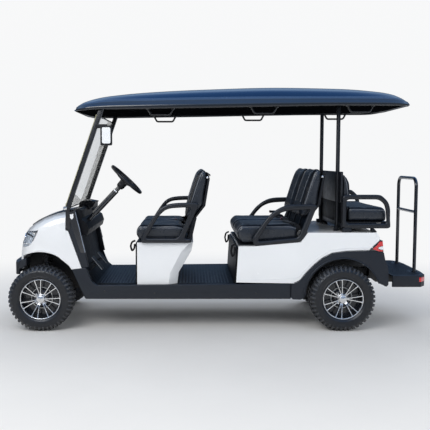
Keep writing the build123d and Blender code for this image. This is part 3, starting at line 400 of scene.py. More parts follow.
def prism(bm, points, low, high, mat=0, upright=False):
    """A closed solid: a side outline stretched along Y, or if upright an outline from above along Z."""
    low, high = sorted((low, high))
    a, b = (
        [bm.verts.new((p[0], p[1], level) if upright else (p[0], level, p[1])) for p in points] for level in (low, high)
    )
    return cap(bm, [a, b], mat) + bridge(bm, [a, b], mat)


def box(bm, x, y, z, mat=0):
    return prism(bm, [(x[0], z[0]), (x[1], z[0]), (x[1], z[1]), (x[0], z[1])], *y, mat)


def ring_frame(direction):
    """Two directions across a third one, and that one."""
    w = Vector(direction).normalized()
    up = Vector((0, 0, 1)) if abs(w.z) < 0.9 else Vector((1, 0, 0))
    u = up.cross(w).normalized()
    return u, w.cross(u), w


def turns_of(steps):
    return [2 * math.pi * k / steps for k in range(steps)]


def headings(pts):
    """The direction of a line at each of its points."""
    return [(pts[min(i + 1, len(pts) - 1)] - pts[max(i - 1, 0)]).normalized() for i in range(len(pts))]


def tube(bm, path, radius, sides=12, mat=0, flat=1.0):
    """A round tube along a list of points, with one radius or one for each; flat squeezes it across."""
    pts = [Vector(p) for p in path]
    rings = []
    u = None
    for i, (p, w) in enumerate(zip(pts, headings(pts))):
        if u is None:
            u, v, _ = ring_frame(w)
        else:
            u = (u - w * u.dot(w)).normalized()
            v = w.cross(u)
        r = radius[i] if hasattr(radius, "__len__") else radius
        rings.append([bm.verts.new(p + (u * math.cos(t) + v * math.sin(t) * flat) * r) for t in turns_of(sides)])
    bridge(bm, rings, mat)
    cap(bm, [rings[0][::-1], rings[-1]], mat)


def bend(a, corner, c, steps):
    """Points from a to c on a small arc that follows the corner between them."""
    shares = [k / steps for k in range(steps + 1)]
    return [a * (1 - t) ** 2 + corner * 2 * t * (1 - t) + c * t * t for t in shares]


def rounded_path(points, radius, steps=6):
    """A polyline with its corners turned into arcs."""
    pts = [Vector(p) for p in points]
    out = [pts[0]]
    for a, b, c in zip(pts, pts[1:], pts[2:]):
        into, out_of = (a - b).normalized(), (c - b).normalized()
        cut = min(radius / math.tan(into.angle(out_of) / 2), 0.48 * (a - b).length, 0.48 * (c - b).length)
        out += bend(b + into * cut, b, b + out_of * cut, steps)
    out.append(pts[-1])
    return out


PIN = 0.0004  # the radius that stands for a point on a turned shape's axis


def lathe(bm, profile, centre, axis, steps=64, mat=0):
    """Turn (distance along the axis, radius) points about an axis, to a ring unless they end on the axis."""
    u, v, w = ring_frame(axis)
    centre = Vector(centre)
    rings = [
        [bm.verts.new(centre + w * along + (u * math.cos(t) + v * math.sin(t)) * radius) for t in turns_of(steps)]
        for along, radius in profile
    ]
    bridge(bm, rings, mat, closed=profile[-1][1] > PIN)


def outward(bm):
    bmesh.ops.recalc_face_normals(bm, faces=bm.faces)


def evaluated(obj):
    """The object's mesh with its modifiers applied."""
    bpy.context.view_layer.update()
    return bpy.data.meshes.new_from_object(obj.evaluated_get(bpy.context.evaluated_depsgraph_get()))


# ---------------------------------------------------------------- camera and lamps
FOCAL_PX = 672
IMAGE_PX = 430
PITCH_DOWN = 4.6
camera = bpy.data.cameras.new("camera")
camera.sensor_width = 36
camera.lens = FOCAL_PX / IMAGE_PX * camera.sensor_width
camera.shift_x = 25 / IMAGE_PX
camera_object = in_scene("camera", camera)
camera_object.location = (AXLE_FRONT + 1.3145, -6.4717, 1.4973)
camera_object.rotation_euler = (math.radians(90 - PITCH_DOWN), 0, 0)
bpy.context.scene.camera = camera_object
bpy.context.scene.view_settings.view_transform = "Standard"

for name, spot, aim, size, power, colour in (
    ("key", (-3.0, -5.5, 5.0), (0, 0, 0.6), (4.5, 3.0), 250, (1.0, 0.985, 0.96)),
    ("fill", (4.5, -6.0, 2.6), (0, 0, 0.8), (4.0, 3.0), 125, (0.94, 0.97, 1.0)),
    ("back", (0.5, 6.5, 4.5), (0, 0, 1.0), (6.0, 2.5), 190, (0.96, 0.98, 1.0)),
):
    lamp = bpy.data.lights.new(name, "AREA")
    lamp.shape = "RECTANGLE"
    lamp.size, lamp.size_y = size
    lamp.energy = power
    lamp.color = colour
    lamp_object = in_scene(name, lamp)
    lamp_object.visible_glossy = name == "key"  # the other two don't show in reflections
    lamp_object.location = spot
    lamp_object.rotation_euler = (Vector(aim) - Vector(spot)).to_track_quat("-Z", "Y").to_euler()

# ---------------------------------------------------------------- sky: one that lights, one in the gloss, one seen
world = bpy.data.worlds.new("studio")
bpy.context.scene.world = world
world.use_nodes = True
wt = world.node_tree
sky_dir = parts_of(wt, add_node(wt, "ShaderNodeTexCoord").outputs["Generated"])
light_sky = ramp(
    wt, sky_dir["Z"], (0.0, (0.42, 0.42, 0.42, 1)), (0.5, (0.47, 0.48, 0.50, 1)), (1.0, (0.50, 0.53, 0.58, 1)),
)
open_gloss = ramp(
    wt, sky_dir["Z"], (0.0, (0.20, 0.25, 0.33, 1)), (0.22, (0.27, 0.34, 0.47, 1)), (0.50, (0.44, 0.60, 0.88, 1)),
    (0.78, (0.44, 0.66, 1.05, 1)), (0.93, (0.13, 0.37, 0.95, 1)), (1.0, (0.10, 0.32, 0.88, 1)),
)
walled_gloss = ramp(
    wt, sky_dir["Z"], (0.0, (0.030, 0.046, 0.076, 1)), (0.22, (0.042, 0.070, 0.120, 1)),
    (0.42, (0.28, 0.42, 0.64, 1)), (0.62, (0.46, 0.70, 1.08, 1)), (0.93, (0.13, 0.37, 0.95, 1)),
    (1.0, (0.10, 0.32, 0.88, 1)),
)
seen_sky = ramp(wt, sky_dir["Z"], (0.0, (0.93, 0.935, 0.94, 1)), (1.0, (0.96, 0.965, 0.97, 1)))
behind = add_node(
    wt, "ShaderNodeMapRange", {"From Min": -0.25, "From Max": 0.15, "Value": sky_dir["Y"]},
    interpolation_type="SMOOTHSTEP",
)
gloss_sky = colour_mix(wt, behind.outputs["Result"], open_gloss, walled_gloss)
ray = add_node(wt, "ShaderNodeLightPath").outputs
lit = colour_mix(wt, ray["Is Glossy Ray"], light_sky, gloss_sky)
lit = colour_mix(wt, ray["Is Transmission Ray"], lit, seen_sky)
lit = colour_mix(wt, ray["Is Camera Ray"], lit, seen_sky)
set_inputs(wt, wt.nodes["Background"], {"Strength": 1.0, "Color": lit})

# ---------------------------------------------------------------- floor that fades to an even white for the camera
FLOOR_FADE = (1.6, 5.0)  # distance from the middle where the fade starts and ends
floor_bm = bmesh.new()
bmesh.ops.create_circle(floor_bm, cap_ends=True, segments=96, radius=60)
floor_mesh = bpy.data.meshes.new("floor")
floor_bm.to_mesh(floor_mesh)
floor_bm.free()
FLOOR = surface("studio_floor", (0.80, 0.80, 0.795), 0.75, 0.015, 1.5, 60, 0.05)
ft = FLOOR.node_tree
glow = add_node(ft, "ShaderNodeEmission", {"Color": (0.93, 0.935, 0.94, 1)})
far = add_node(ft, "ShaderNodeVectorMath", {0: object_space(ft)}, operation="LENGTH").outputs["Value"]
fade = add_node(
    ft, "ShaderNodeMapRange", {"From Min": FLOOR_FADE[0], "From Max": FLOOR_FADE[1], "Value": far},
    interpolation_type="SMOOTHSTEP",
)
ray = add_node(ft, "ShaderNodeLightPath").outputs
seen = maths(ft, "MAXIMUM", ray["Is Camera Ray"], ray["Is Transmission Ray"])
share = maths(ft, "MULTIPLY", fade.outputs["Result"], seen)
shader = ft.nodes["Principled BSDF"]
mixed = add_node(ft, "ShaderNodeMixShader", {"Fac": share, 1: shader.outputs[0], 2: glow.outputs[0]})
set_inputs(ft, ft.nodes["Material Output"], {"Surface": mixed.outputs[0]})
floor_mesh.materials.append(FLOOR)
in_scene("floor", floor_mesh)

# ---------------------------------------------------------------- carried-over CAD nodes
REFINED = [  # node, material, bevel width
    ("chassis_frame", FRAME_BLACK, 0.003), ("front_suspension", FRAME_BLACK, 0.002),
    ("left_knuckle", RUST_STEEL, 0.0015), ("right_knuckle", RUST_STEEL, 0.0015), ("tie_rod", ZINC, 0.001),
    ("rear_axle", FRAME_BLACK, 0.003), ("battery_pack", DARK_INSIDE, 0.008), ("floor_pan", DARK_INSIDE, 0.003),
    ("rocker_panels", GREY_TRIM, 0.007), ("rear_flares", GREY_TRIM, 0.007), ("front_bumper", GREY_TRIM, 0.010),
    ("front_struts", SATIN_BLACK, 0.005), ("pillar_trims", GREY_TRIM, 0.005), ("dash_panel", DARK_INSIDE, 0.014),
    ("steering_column", GLOSS_BLACK, 0.002), ("pedals", GRIP, 0.002), ("roof_liner", LINER_CLOTH, 0.003),
    ("roof_handles", SATIN_BLACK, 0.002), ("kick_panels", DARK_INSIDE, 0.003), ("front_seat_frame", BLACK_TRIM, 0.004),
    ("middle_seat_frame", BLACK_TRIM, 0.004), ("rear_step", GREY_TRIM, 0.008), ("grab_bar", GLOSS_BLACK, 0.001),
    ("side_mirror", BLACK_TRIM, 0.004), ("flip_seat_board", SATIN_BLACK, 0.002), ("front_pedestal", WHITE, 0.008),
    ("rear_body", WHITE, 0.008), ("front_cowl", WHITE, 0.004), ("headlights", LAMP_CLEAR, 0.003),
]
CORNERS = {"side_mirror": 0.016, "rocker_panels": 0.012, "rear_flares": 0.020}  # how far a side outline's turns round
OWN_BODY = {
    "left_knuckle": "left_knuckle", "right_knuckle": "right_knuckle", "tie_rod": "tie_rod",
    "flip_seat_board": "flip_seat",
}
for node, mat, width in REFINED:
    bm = node_bmesh(node)
    if node in CORNERS:
        round_turns(bm, CORNERS[node])
    bevel(bm, width, 3)
    show_node(bm, node, (mat,), body=OWN_BODY.get(node, CHASSIS))

# ---------------------------------------------------------------- wheels
PITCHES = 44  # tread blocks round the tyre
TREAD_HALF = 0.090  # how far the tread's rubber reaches from the centre plane
SHOULDER_WIDE, SHOULDER_LEAN = 0.30, 0.03  # half width in pitches, lean
CENTRE_LATE, CENTRE_WIDE, CENTRE_LEAN = 0.45, 0.29, 0.16  # the first is how far behind the shoulder's block
TYRE_PROFILE = [  # across from the wheel's centre plane, radius, in millimetres
    (82, 178.6), (88, 181), (93, 188), (97.5, 198), (99.4, 199.5), (99.8, 202), (98.9, 203.5), (101, 213),
    (102.0, 226), (101.4, 238), (102.2, 240), (101.6, 243), (99.0, 250), (94.5, 258), (87, 265), (76, 270),
    (55, 273), (28, 274.5), (0, 275),
]
SHOULDER_LUG = [  # outer face and root, from the tread to the sidewall
    ((46, 286), (46, 270)), ((70, 286), (70, 266)), ((76, 285), (74, 262)), ((87, 274.5), (80, 258)),
    ((95.5, 265), (88, 252)), ((100.5, 253), (93, 246)), ((102.4, 244), (98, 241)),
]
CENTRE_LUG = [((5, 285.5), (5, 270)), ((22, 286), (22, 270)), ((39, 285.5), (39, 270))]
SPOKE_PAIRS = 7
PAIR_START = {"front": 97, "rear": 103}  # degrees to the first pair
SPOKE_LINE = [  # distance from the axle, face, distance from the pair's middle, half width, depth
    (36, 60, 5.0, 6.4, 10), (44, 68, 5.6, 5.6, 10), (60, 73.5, 7.6, 4.4, 15), (95, 77, 13.6, 4.0, 15),
    (130, 81, 20.3, 4.1, 15), (160, 86, 26.2, 4.8, 15), (172, 88.6, 28.4, 6.4, 15),
]
BARREL = [  # its first points are the machined flange
    (89, 171.5), (90.2, 174.5), (89.6, 177.6), (84, 178), (70, 174), (-78, 174), (-88, 178), (-89, 172), (-78, 166),
    (0, 158), (52, 160), (78, 165),
]
NUTS, NUT_CIRCLE = 4, 54
NUT_PARTS = (((50, 59), 9.5), ((59, 66), 7.2))  # washer and nut: where they start and end, radius
HUB_RINGS = [  # profile, steps, material
    ([(2, 70), (2, 163), (-5, 163), (-5, 70)], 64, 1),  # dark web behind the spokes
    ([(4, 88), (12, 89), (12, 96), (4, 97)], 64, 3),  # pale brake ring
    ([(52, 0.5), (52, 66), (47, 72), (32, 74), (-8, 74), (-8, 0.5)], 64, 1),  # hub plate
    ([(50, 0.4), (50, 40), (70, 38), (75, 34.5), (77, 33), (77, 29), (78.4, 27), (80.5, 0.4)], 48, 0),  # cap
    ([(58, 41), (62, 44), (64, 42.5), (62, 39)], 48, 0),  # ring round the cap
]


class Wheel:
    """Places points given by distance from the wheel's centre plane, radius and angle, in millimetres."""

    def __init__(self, x, side):
        self.x, self.side = x, side

    def at(self, across, radius, angle):
        return Vector((
            self.x + radius / 1000 * math.cos(angle),
            self.side * (WHEEL_Y + across / 1000),
            WHEEL_Z + radius / 1000 * math.sin(angle),
        ))

    def flat(self, across, along, aside, angle):
        """The same for a point along a spoke's centre line and aside from it."""
        return self.at(across, math.hypot(along, aside), angle + math.atan2(aside, along))

    def turned(self, bm, profile, steps, mat):
        """A ring of the wheel, from (across, radius) points."""
        rings = [[bm.verts.new(self.at(a, r, t)) for t in turns_of(steps)] for a, r in profile]
        bridge(bm, rings, mat, closed=True)
        return rings


def lug(bm, wheel, sections, angle, half, lean, flip):
    """A tread block: sections across the tyre, each with its face and root, leaning round the tyre."""
    rows = []
    for k, ((a, r), (ra, rr)) in enumerate(sections):
        shift = angle + lean * (a - sections[0][0][0]) / 100
        wide = half * (1.0 - 0.05 * k)
        root = wide * 1.12
        spots = ((ra, rr, -root), (a, r, -wide), (a, r, wide), (ra, rr, root))
        rows.append([bm.verts.new(wheel.at(flip * across, radius, shift + turn)) for across, radius, turn in spots])
    bridge(bm, rows, 1)
    cap(bm, rows, 1)
    edges = {bm.edges.get((p[i], q[i])) for p, q in zip(rows, rows[1:]) for i in (1, 2)}
    return edges | {bm.edges.get((row[1], row[2])) for row in (rows[0], rows[-1])}


def build_tyre(name, wheel):
    bm = bmesh.new()
    wheel.turned(bm, TYRE_PROFILE + [(-a, r) for a, r in reversed(TYRE_PROFILE[:-1])], 132, 0)
    for f in bm.faces:
        if abs(f.calc_center_median().y - wheel.side * WHEEL_Y) < TREAD_HALF:
            f.material_index = 1
    edges = set()
    pitch = 2 * math.pi / PITCHES
    for k in range(PITCHES):
        sections = SHOULDER_LUG if k % 2 else SHOULDER_LUG[:-1]
        for flip in SIDES:
            turn = pitch * (k + (0.5 if flip > 0 else 0))
            edges |= lug(bm, wheel, sections, turn, pitch * SHOULDER_WIDE, SHOULDER_LEAN * flip, flip)
            late = turn + pitch * CENTRE_LATE
            edges |= lug(bm, wheel, CENTRE_LUG, late, pitch * CENTRE_WIDE, CENTRE_LEAN * flip, flip)
    outward(bm)
    bevel(bm, 0.0016, 1, edges=list(edges))
    show(bm, name + "_tyre_look", "tyre_rubber", (SIDEWALL, TREAD), 38, (name + "_tyre",), name + "_wheel")


def build_rim(name, wheel):
    bm = bmesh.new()
    rings = wheel.turned(bm, BARREL, 96, 1)
    bright = {v for ring in (*rings[:4], rings[-1]) for v in ring}
    for f in bm.faces:
        if all(v in bright for v in f.verts):
            f.material_index = 0
    for profile, steps, mat in HUB_RINGS:
        wheel.turned(bm, profile, steps, mat)
    for k in range(NUTS):
        turn = math.radians(45 + 360 / NUTS * k)
        for ends, size in NUT_PARTS:
            corners = [(NUT_CIRCLE + size * math.cos(a), size * math.sin(a)) for a in turns_of(6)]
            rows = [[bm.verts.new(wheel.flat(end, x, y, turn)) for x, y in corners] for end in ends]
            bridge(bm, rows)
            cap(bm, rows)
    start = math.radians(PAIR_START[name.split("_")[0]])
    for k in range(SPOKE_PAIRS):
        turn = start + 2 * math.pi * k / SPOKE_PAIRS
        for hand in SIDES:
            rows = []
            for along, face, aside, half, deep in SPOKE_LINE:
                section = ((deep, -1.5), (1.6, -1.12), (0, -0.85), (0, 0.85), (1.6, 1.12), (deep, 1.5))
                rows.append([
                    bm.verts.new(wheel.flat(face - low, along, hand * aside + half * wide, turn))
                    for low, wide in section
                ])
            for i, f in enumerate(bridge(bm, rows, 1)):
                f.material_index = 0 if i % 6 in (1, 2, 3) else 1
            cap(bm, rows, 1)
    turn = start + math.pi / SPOKE_PAIRS
    tube(bm, [wheel.at(70, 158, turn), wheel.at(84, 150, turn)], [0.004, 0.003], 10, 2)  # valve stem
    outward(bm)
    mats = (MACHINED, RIM_POCKET, BLACK_TRIM, ZINC)
    show(bm, name + "_rim_look", "rim_alloy", mats, 32, (name + "_rim",), name + "_wheel")


for axle, x in (("front", AXLE_FRONT), ("rear", AXLE_REAR)):
    for side_name, side in (("left", -1), ("right", 1)):
        wheel = Wheel(x, side)
        build_tyre(f"{axle}_{side_name}", wheel)
        build_rim(f"{axle}_{side_name}", wheel)

# ---------------------------------------------------------------- roof
ROOF_STATIONS = [  # x, half width, lip, shoulder and crown, in millimetres from the front axle
    (286, 400, 1942, 1957, 1970), (318, 520, 1936, 1974, 1998), (372, 592, 1934, 1990, 2028),
    (450, 614, 1940, 2006, 2056), (600, 620, 1942, 2026, 2088), (1000, 620, 1948, 2038, 2130),
    (1500, 620, 1956, 2048, 2156), (2100, 620, 1967, 2054, 2172), (2660, 620, 1974, 2054, 2160),
    (2960, 620, 1974, 2052, 2134), (3100, 614, 1974, 2044, 2108), (3180, 592, 1976, 2022, 2078),
    (3240, 520, 1982, 2010, 2048), (3274, 400, 1990, 2002, 2022),
]
# half of the roof's outline, from the lip to the crown: how far in, and the share of the height to the shoulder
FASCIA = [(6, 0), (2, 0.01), (0, 0.05), (0, 0.30), (1.5, 0.37), (5, 0.43), (19, 0.78), (24, 0.90), (29, 0.97)]
# how far in, and the share of the rise from the shoulder to the crown
PANEL = [(35, 0), (42, 0), (48, -0.04), (54, -0.01), (64, 0.08), (82, 0.235), (102, 0.385), (122, 0.50)]
# share of the half width, and of the rise
CROWN = [(0.74, 0.625), (0.68, 0.73), (0.58, 0.83), (0.43, 0.92), (0.25, 0.975), (0.1, 0.998), (0, 1)]
# these crease faces take the lighter blue crease material: a painted highlight along the roof's shoulder
CREASE_HIGHLIGHT_FACES = {*range(6, 9), *range(37, 40)}  # the outline's faces between the fascia and the panel
ROOF_ROWS = 56


def curve_through(xs, ys, at):
    """A smooth curve through given points that doesn't overshoot between them."""
    xs, ys = np.array(xs, float), np.array(ys, float)
    h, d = np.diff(xs), np.diff(ys) / np.diff(xs)
    m = np.zeros(len(xs))
    for i in range(1, len(xs) - 1):
        if d[i - 1] * d[i] > 0:
            w1, w2 = 2 * h[i] + h[i - 1], h[i] + 2 * h[i - 1]
            m[i] = (w1 + w2) / (w1 / d[i - 1] + w2 / d[i])
    m[0], m[-1] = d[0], d[-1]
    i = np.clip(np.searchsorted(xs, at) - 1, 0, len(h) - 1)
    t = (at - xs[i]) / h[i]
    return (
        (1 + 2 * t) * (1 - t) ** 2 * ys[i] + t * (1 - t) ** 2 * h[i] * m[i]
        + t * t * (3 - 2 * t) * ys[i + 1] + t * t * (t - 1) * h[i] * m[i + 1]
    )


def roof_section(half, lip, shoulder, crown):
    side, rise = shoulder - lip, crown - shoulder
    return (
        [(half - inset, lip + share * side) for inset, share in FASCIA]
        + [(half - inset, shoulder + share * rise) for inset, share in PANEL]
        + [(part * half, shoulder + share * rise) for part, share in CROWN]
    )


bm = bmesh.new()
table = np.array(ROOF_STATIONS, float)
even = np.linspace(0, 1, ROOF_ROWS)
spread = 0.5 - 0.5 * np.cos(np.linspace(0, math.pi, ROOF_ROWS))  # denser towards both ends
rows = []
for x in table[0, 0] + (table[-1, 0] - table[0, 0]) * (0.55 * spread + 0.45 * even):
    half, lip, shoulder, crown = (curve_through(table[:, 0], table[:, c], x) for c in range(1, 5))
    outline = roof_section(half, lip, shoulder, crown)
    under = [(half - 12, lip + 1)] + [(max(y - 9, 0), z - 9) for y, z in outline[4:]]
    loop = outline + [(-y, z) for y, z in reversed(outline[:-1])]
    loop += [(-y, z) for y, z in under] + under[-2::-1]
    rows.append([bm.verts.new((front(x), y / 1000, z / 1000)) for y, z in loop])
for i, f in enumerate(bridge(bm, rows)):
    f.material_index = i % len(rows[0]) in CREASE_HIGHLIGHT_FACES
# bull-nosed ends over the crown's outline
count = 2 * len(FASCIA + PANEL + CROWN) - 1
for row, sign in ((rows[0], -1), (rows[-1], 1)):
    rim = ring = row[:count]
    middle_z = sum(v.co.z for v in rim) / count
    for push, shrink in ((0.006, 0.97), (0.010, 0.90), (0.012, 0.6)):
        inner = [
            bm.verts.new((
                v.co.x + sign * push, v.co.y * (0.6 + 0.4 * shrink), middle_z + (v.co.z - middle_z) * shrink * 0.9,
            ))
            for v in rim
        ]
        for k in range(count - 1):
            add_face(bm, (ring[k], ring[k + 1], inner[k + 1], inner[k]), k in CREASE_HIGHLIGHT_FACES)
        ring = inner
    bm.faces.new(ring)
    bm.faces.new([rim[0], rim[-1], *row[count:]])
bmesh.ops.remove_doubles(bm, verts=bm.verts, dist=1e-6)
outward(bm)
show(bm, "roof_look", "black_gloss", (ROOF_BLACK, ROOF_CREASE_HIGHLIGHT), 50, ("roof_shell",))

# ---------------------------------------------------------------- nose
HOOD = [
    (-250, 600), (-245, 690), (-232, 770), (-208, 838), (-174, 885), (-112, 935), (-20, 985), (90, 1020), (220, 1045),
]
# distance from the middle, share of the length that is left there, drop at the windscreen
COWL_ACROSS = [(0, 1.0, 0), (300, 0.975, 4), (450, 0.91, 10), (530, 0.83, 22), (580, 0.74, 42), (600, 0.64, 80)]
COWL_REAR = 220


def hood_point(y, s, inset=0.0):
    """The cowl's outer surface: y across and s along the hood line, from 0 at the nose to 8 at the windscreen."""
    share, drop = (
        float(np.interp(abs(y), [row[0] for row in COWL_ACROSS], [row[c] for row in COWL_ACROSS])) for c in (1, 2)
    )
    x, z = (float(curve_through(range(9), [p[c] for p in HOOD], np.float64(s))) for c in (0, 1))
    fall = drop * (z - HOOD[0][1]) / (HOOD[-1][1] - HOOD[0][1])
    spot = Vector((COWL_REAR - (COWL_REAR - x) * share, y, z - fall))
    if inset:
        ahead = hood_point(y, min(8, s + 0.05)) - hood_point(y, max(0, s - 0.05))
        aside = hood_point(y + 2, s) - hood_point(y - 2, s)
        normal = aside.cross(ahead).normalized()
        spot -= (normal if normal.x < 0 or normal.z > 0 else -normal) * inset
    return spot


def on_hood(y, s, inset):
    """The same in metres of the row frame."""
    p = hood_point(y, s, inset)
    return Vector((front(p.x), p.y / 1000, p.z / 1000))


def hood_patch(bm, ys, ss, inset, thick):
    """A panel that follows the cowl at an inset, with its edges turned down by its thickness."""
    top, low = ([[bm.verts.new(on_hood(y, s, deep)) for s in ss] for y in ys] for deep in (inset, inset + thick))
    for i in range(len(ys) - 1):
        for j in range(len(ss) - 1):
            bm.faces.new((top[i][j], top[i][j + 1], top[i + 1][j + 1], top[i + 1][j]))
            bm.faces.new((low[i][j], low[i + 1][j], low[i + 1][j + 1], low[i][j + 1]))
    rim = [(i, 0) for i in range(len(ys))] + [(len(ys) - 1, j) for j in range(1, len(ss))]
    rim += [(i, len(ss) - 1) for i in range(len(ys) - 2, -1, -1)] + [(0, j) for j in range(len(ss) - 2, 0, -1)]
    for (i, j), (k, m) in zip(rim, rim[1:] + rim[:1]):
        bm.faces.new((top[i][j], top[k][m], low[k][m], low[i][j]))


bm = bmesh.new()
hood_patch(bm, np.linspace(-300, 300, 33), np.linspace(4.55, 7.97, 30), -5, 7)
outward(bm)
bevel(bm, 0.002, 2, 50)
show(bm, "hood_panel", "black_gloss", (GLOSS_BLACK,), 40)

bm = bmesh.new()
for side in SIDES:
    hood_patch(bm, side * np.linspace(334, 588, 22), np.linspace(1.35, 4.0, 18), 19, 6)
    for y, s, r in ((392, 2.75, 0.030), (462, 2.72, 0.027)):  # two lamps with their bulbs
        spot, aim = on_hood(side * y, s, 17), (-0.97, side * 0.16, 0.05)
        bowl = [(0.0, r), (0.010, r), (0.012, r - 0.004), (0.003, r - 0.009), (0.002, PIN)]
        lathe(bm, bowl, spot, aim, 40, 1)
        lathe(bm, [(0.002, r - 0.010), (0.010, r - 0.014), (0.013, PIN)], spot, aim, 40, 2)
    # a light strip below them and a dark brow above
    for inset, radius, mat, ends in ((14, 0.0055, 2, (1.55, 2.2)), (13, 0.0075, 3, (3.25, 3.55))):
        line = zip(np.linspace(345, 585, 16), np.linspace(*ends, 16))
        tube(bm, [on_hood(side * y, s, inset) for y, s in line], radius, 10, mat)
outward(bm)
show(bm, "headlight_bowls", "lamp_clear", (LAMP_BOWL, CHROME, LAMP_WHITE, GLOSS_BLACK), 40)

# bumper face: recessed slats and tow eye
FOREMOST = -1.8885  # how far forward the looks may reach past the CAD box
bm = bmesh.new()
for z in (0.496, 0.520, 0.544):
    path = [(front(-301.5 + max(0, abs(y) - 0.15) * 60), y, z) for y in (-0.26, -0.15, 0, 0.15, 0.26)]
    tube(bm, path, 0.0042, 8)
for side in SIDES:
    hook = [(front(-300), side * 0.02, 0.478), (front(-318), side * 0.02, 0.474), (front(-318), 0, 0.474)]
    tube(bm, hook, 0.004, 8, 1)
for v in bm.verts:
    v.co.x = max(v.co.x, FOREMOST)
# its ends wrap the cowl's feet ahead of the wheel arches
WRAP = [(-206, 560), (-200, 606), (-178, 626), (-126, 640), (-122, 612), (-124, 575), (-158, 558), (-196, 538)]
for side in SIDES:
    faces = prism(bm, outline_at(front, WRAP), side * 0.470, side * 0.6035, 2)
    bevel(bm, 0.010, 3, edges=list({e for f in faces for e in f.edges}))
outward(bm)
show(bm, "bumper_slats", "grey_trim", (BLACK_TRIM, FRAME_BLACK, GREY_TRIM))

# ---------------------------------------------------------------- pillar foot, windscreen and mirror
bm = bmesh.new()
for side in SIDES:
    side_gloss = [(256, 1052), (306, 1056), (334, 930), (388, 690), (352, 690), (280, 905), (256, 985)]
    prism(bm, outline_at(front, side_gloss), side * 0.5915, side * 0.5935, 1)
    # a pale blue-grey cord along the trim's rear edge is a painted highlight
    edge = outline_at(front, [(308, 1050), (322, 985), (336, 930), (360, 820), (390, 692)])
    tube(bm, rounded_path([(x, side * 0.5930, z) for x, z in edge], 0.05), 0.0034, 10, 2)
    lamp = [(262, 1030), (290, 1034), (292, 1000), (276, 985), (262, 1000)]
    prism(bm, outline_at(front, lamp), side * 0.5925, side * 0.5955)
outward(bm)
show(bm, "pillar_strips", "white_body", (WHITE, GLOSS_BLACK, EDGE_HIGHLIGHT))

bm = node_bmesh("windshield")
for f in bm.faces:
    f.material_index = 0 if f.calc_area() > 0.2 else 1  # the sheet's front and back, or its cut edge
bevel(bm, 0.001, 1)
show_node(bm, "windshield", (GLASS, GLASS_EDGE))


def screen_x(z, off=0.0):
    """x of the windscreen's front face at a height."""
    lean = (529 - 246) / (1909 - 1104)
    return front(246 + (z * 1000 - 1104) * lean - 20 / math.cos(math.atan(lean)) - 6.6 - off)


bm = bmesh.new()
SCREEN_KNOB = [(-0.004, PIN), (-0.004, 0.011), (-0.001, 0.013), (0.002, 0.013), (0.002, PIN)]
for side in SIDES:
    for z in (1.12, 1.86):
        lathe(bm, SCREEN_KNOB, (screen_x(z), side * 0.562, z), (-1, 0, 0.35), 20)
    x = screen_x(1.085)
    clip = [(x - 0.014, 1.070), (x + 0.020, 1.070), (x + 0.026, 1.098), (x - 0.006, 1.098)]
    prism(bm, clip, side * 0.570, side * 0.594, 1)
outward(bm)
bevel(bm, 0.0012, 2)
show(bm, "windshield_clips", "zinc_steel", (BLACK_TRIM, CHROME))

bm = bmesh.new()
for z, radius in ((1.897, 0.006), (1.072, 0.007)):
    tube(bm, [(screen_x(z, -3), y, z) for y in (-0.570, 0, 0.570)], radius, 8)
outward(bm)
show(bm, "windshield_seals", "rubber_grip", (GRIP,))

# the mirror's pane, with corners of 13 mm, in a pale finish that is a painted reflection
bm = bmesh.new()
face = []
for x, z, start in ((568, 1.661, 180), (615, 1.661, 270), (615, 1.773, 0), (568, 1.773, 90)):
    for k in range(7):
        turn = math.radians(start + 15 * k)
        face.append((front(x + 13 * math.cos(turn)), z + 0.013 * math.sin(turn)))
prism(bm, face, -0.6425, -0.6395)
outward(bm)
show(bm, "mirror_pane", "black_trim", (MIRROR_PAINTED_REFLECTION,))

# ---------------------------------------------------------------- dash, column and wheel
WHEEL_AT = Vector((front(733), -0.300, 1.327))
TILT = math.radians(46.5)
COLUMN = Vector((math.cos(TILT), 0, math.sin(TILT)))
DASH_KNOB = [(0, PIN), (0, 0.013), (0.008, 0.013), (0.010, 0.010), (0.010, PIN)]
CUP_RING = [(0.0, 0.034), (0.006, 0.034), (0.006, 0.041), (-0.004, 0.043), (-0.010, 0.043), (-0.010, 0.034)]
bm = bmesh.new()
for y0, y1 in ((-0.118, -0.052), (-0.030, 0.050)):
    prism(bm, [(front(358), 1.1262), (front(412), 1.1166), (front(412), 1.1180), (front(358), 1.1276)], y0, y1)
for y in (0.16, 0.24, 0.32):
    lathe(bm, DASH_KNOB, (front(352), y, 1.02), (0.98, 0, 0.1), 20, 1)
for y in (0.20, 0.36):
    lathe(bm, CUP_RING, (front(320), y, 1.076), (0, 0, 1), 32, 2)
box(bm, (front(356), front(360)), (0.10, 0.50), (0.930, 0.934), 2)
outward(bm)
bevel(bm, 0.0008, 1, 40)
show(bm, "dash_fittings", "black_trim", (DIAL_FACE, GRIP, SATIN_BLACK))

bm = bmesh.new()
COLUMN_RINGS = [  # distance below the wheel, radius
    [(0.150, 0.0200), (0.150, 0.0262), (0.430, 0.0262), (0.430, 0.0200)],  # jacket
    [(0.138, 0.0200), (0.138, 0.0272), (0.150, 0.0272), (0.150, 0.0200)],  # bright ring
    [(0.060, 0.0200), (0.060, 0.0360), (0.074, 0.0380), (0.094, 0.0330), (0.102, 0.0255), (0.102, 0.0200)],  # cone
]
for mat, profile in enumerate(COLUMN_RINGS):
    lathe(bm, profile, WHEEL_AT, -COLUMN, 40, mat)
stalk = ((0.120, (0, 0, 0)), (0.116, (0.010, 0.060, 0.004)), (0.108, (0.020, 0.150, 0.030)))
stalk = [WHEEL_AT - COLUMN * below + Vector(shift) for below, shift in stalk]
tube(bm, rounded_path(stalk, 0.05), 0.0055, 10, 2)
outward(bm)
show(bm, "column_shroud", "black_trim", (GLOSS_BLACK, CHROME, BLACK_TRIM), 45)

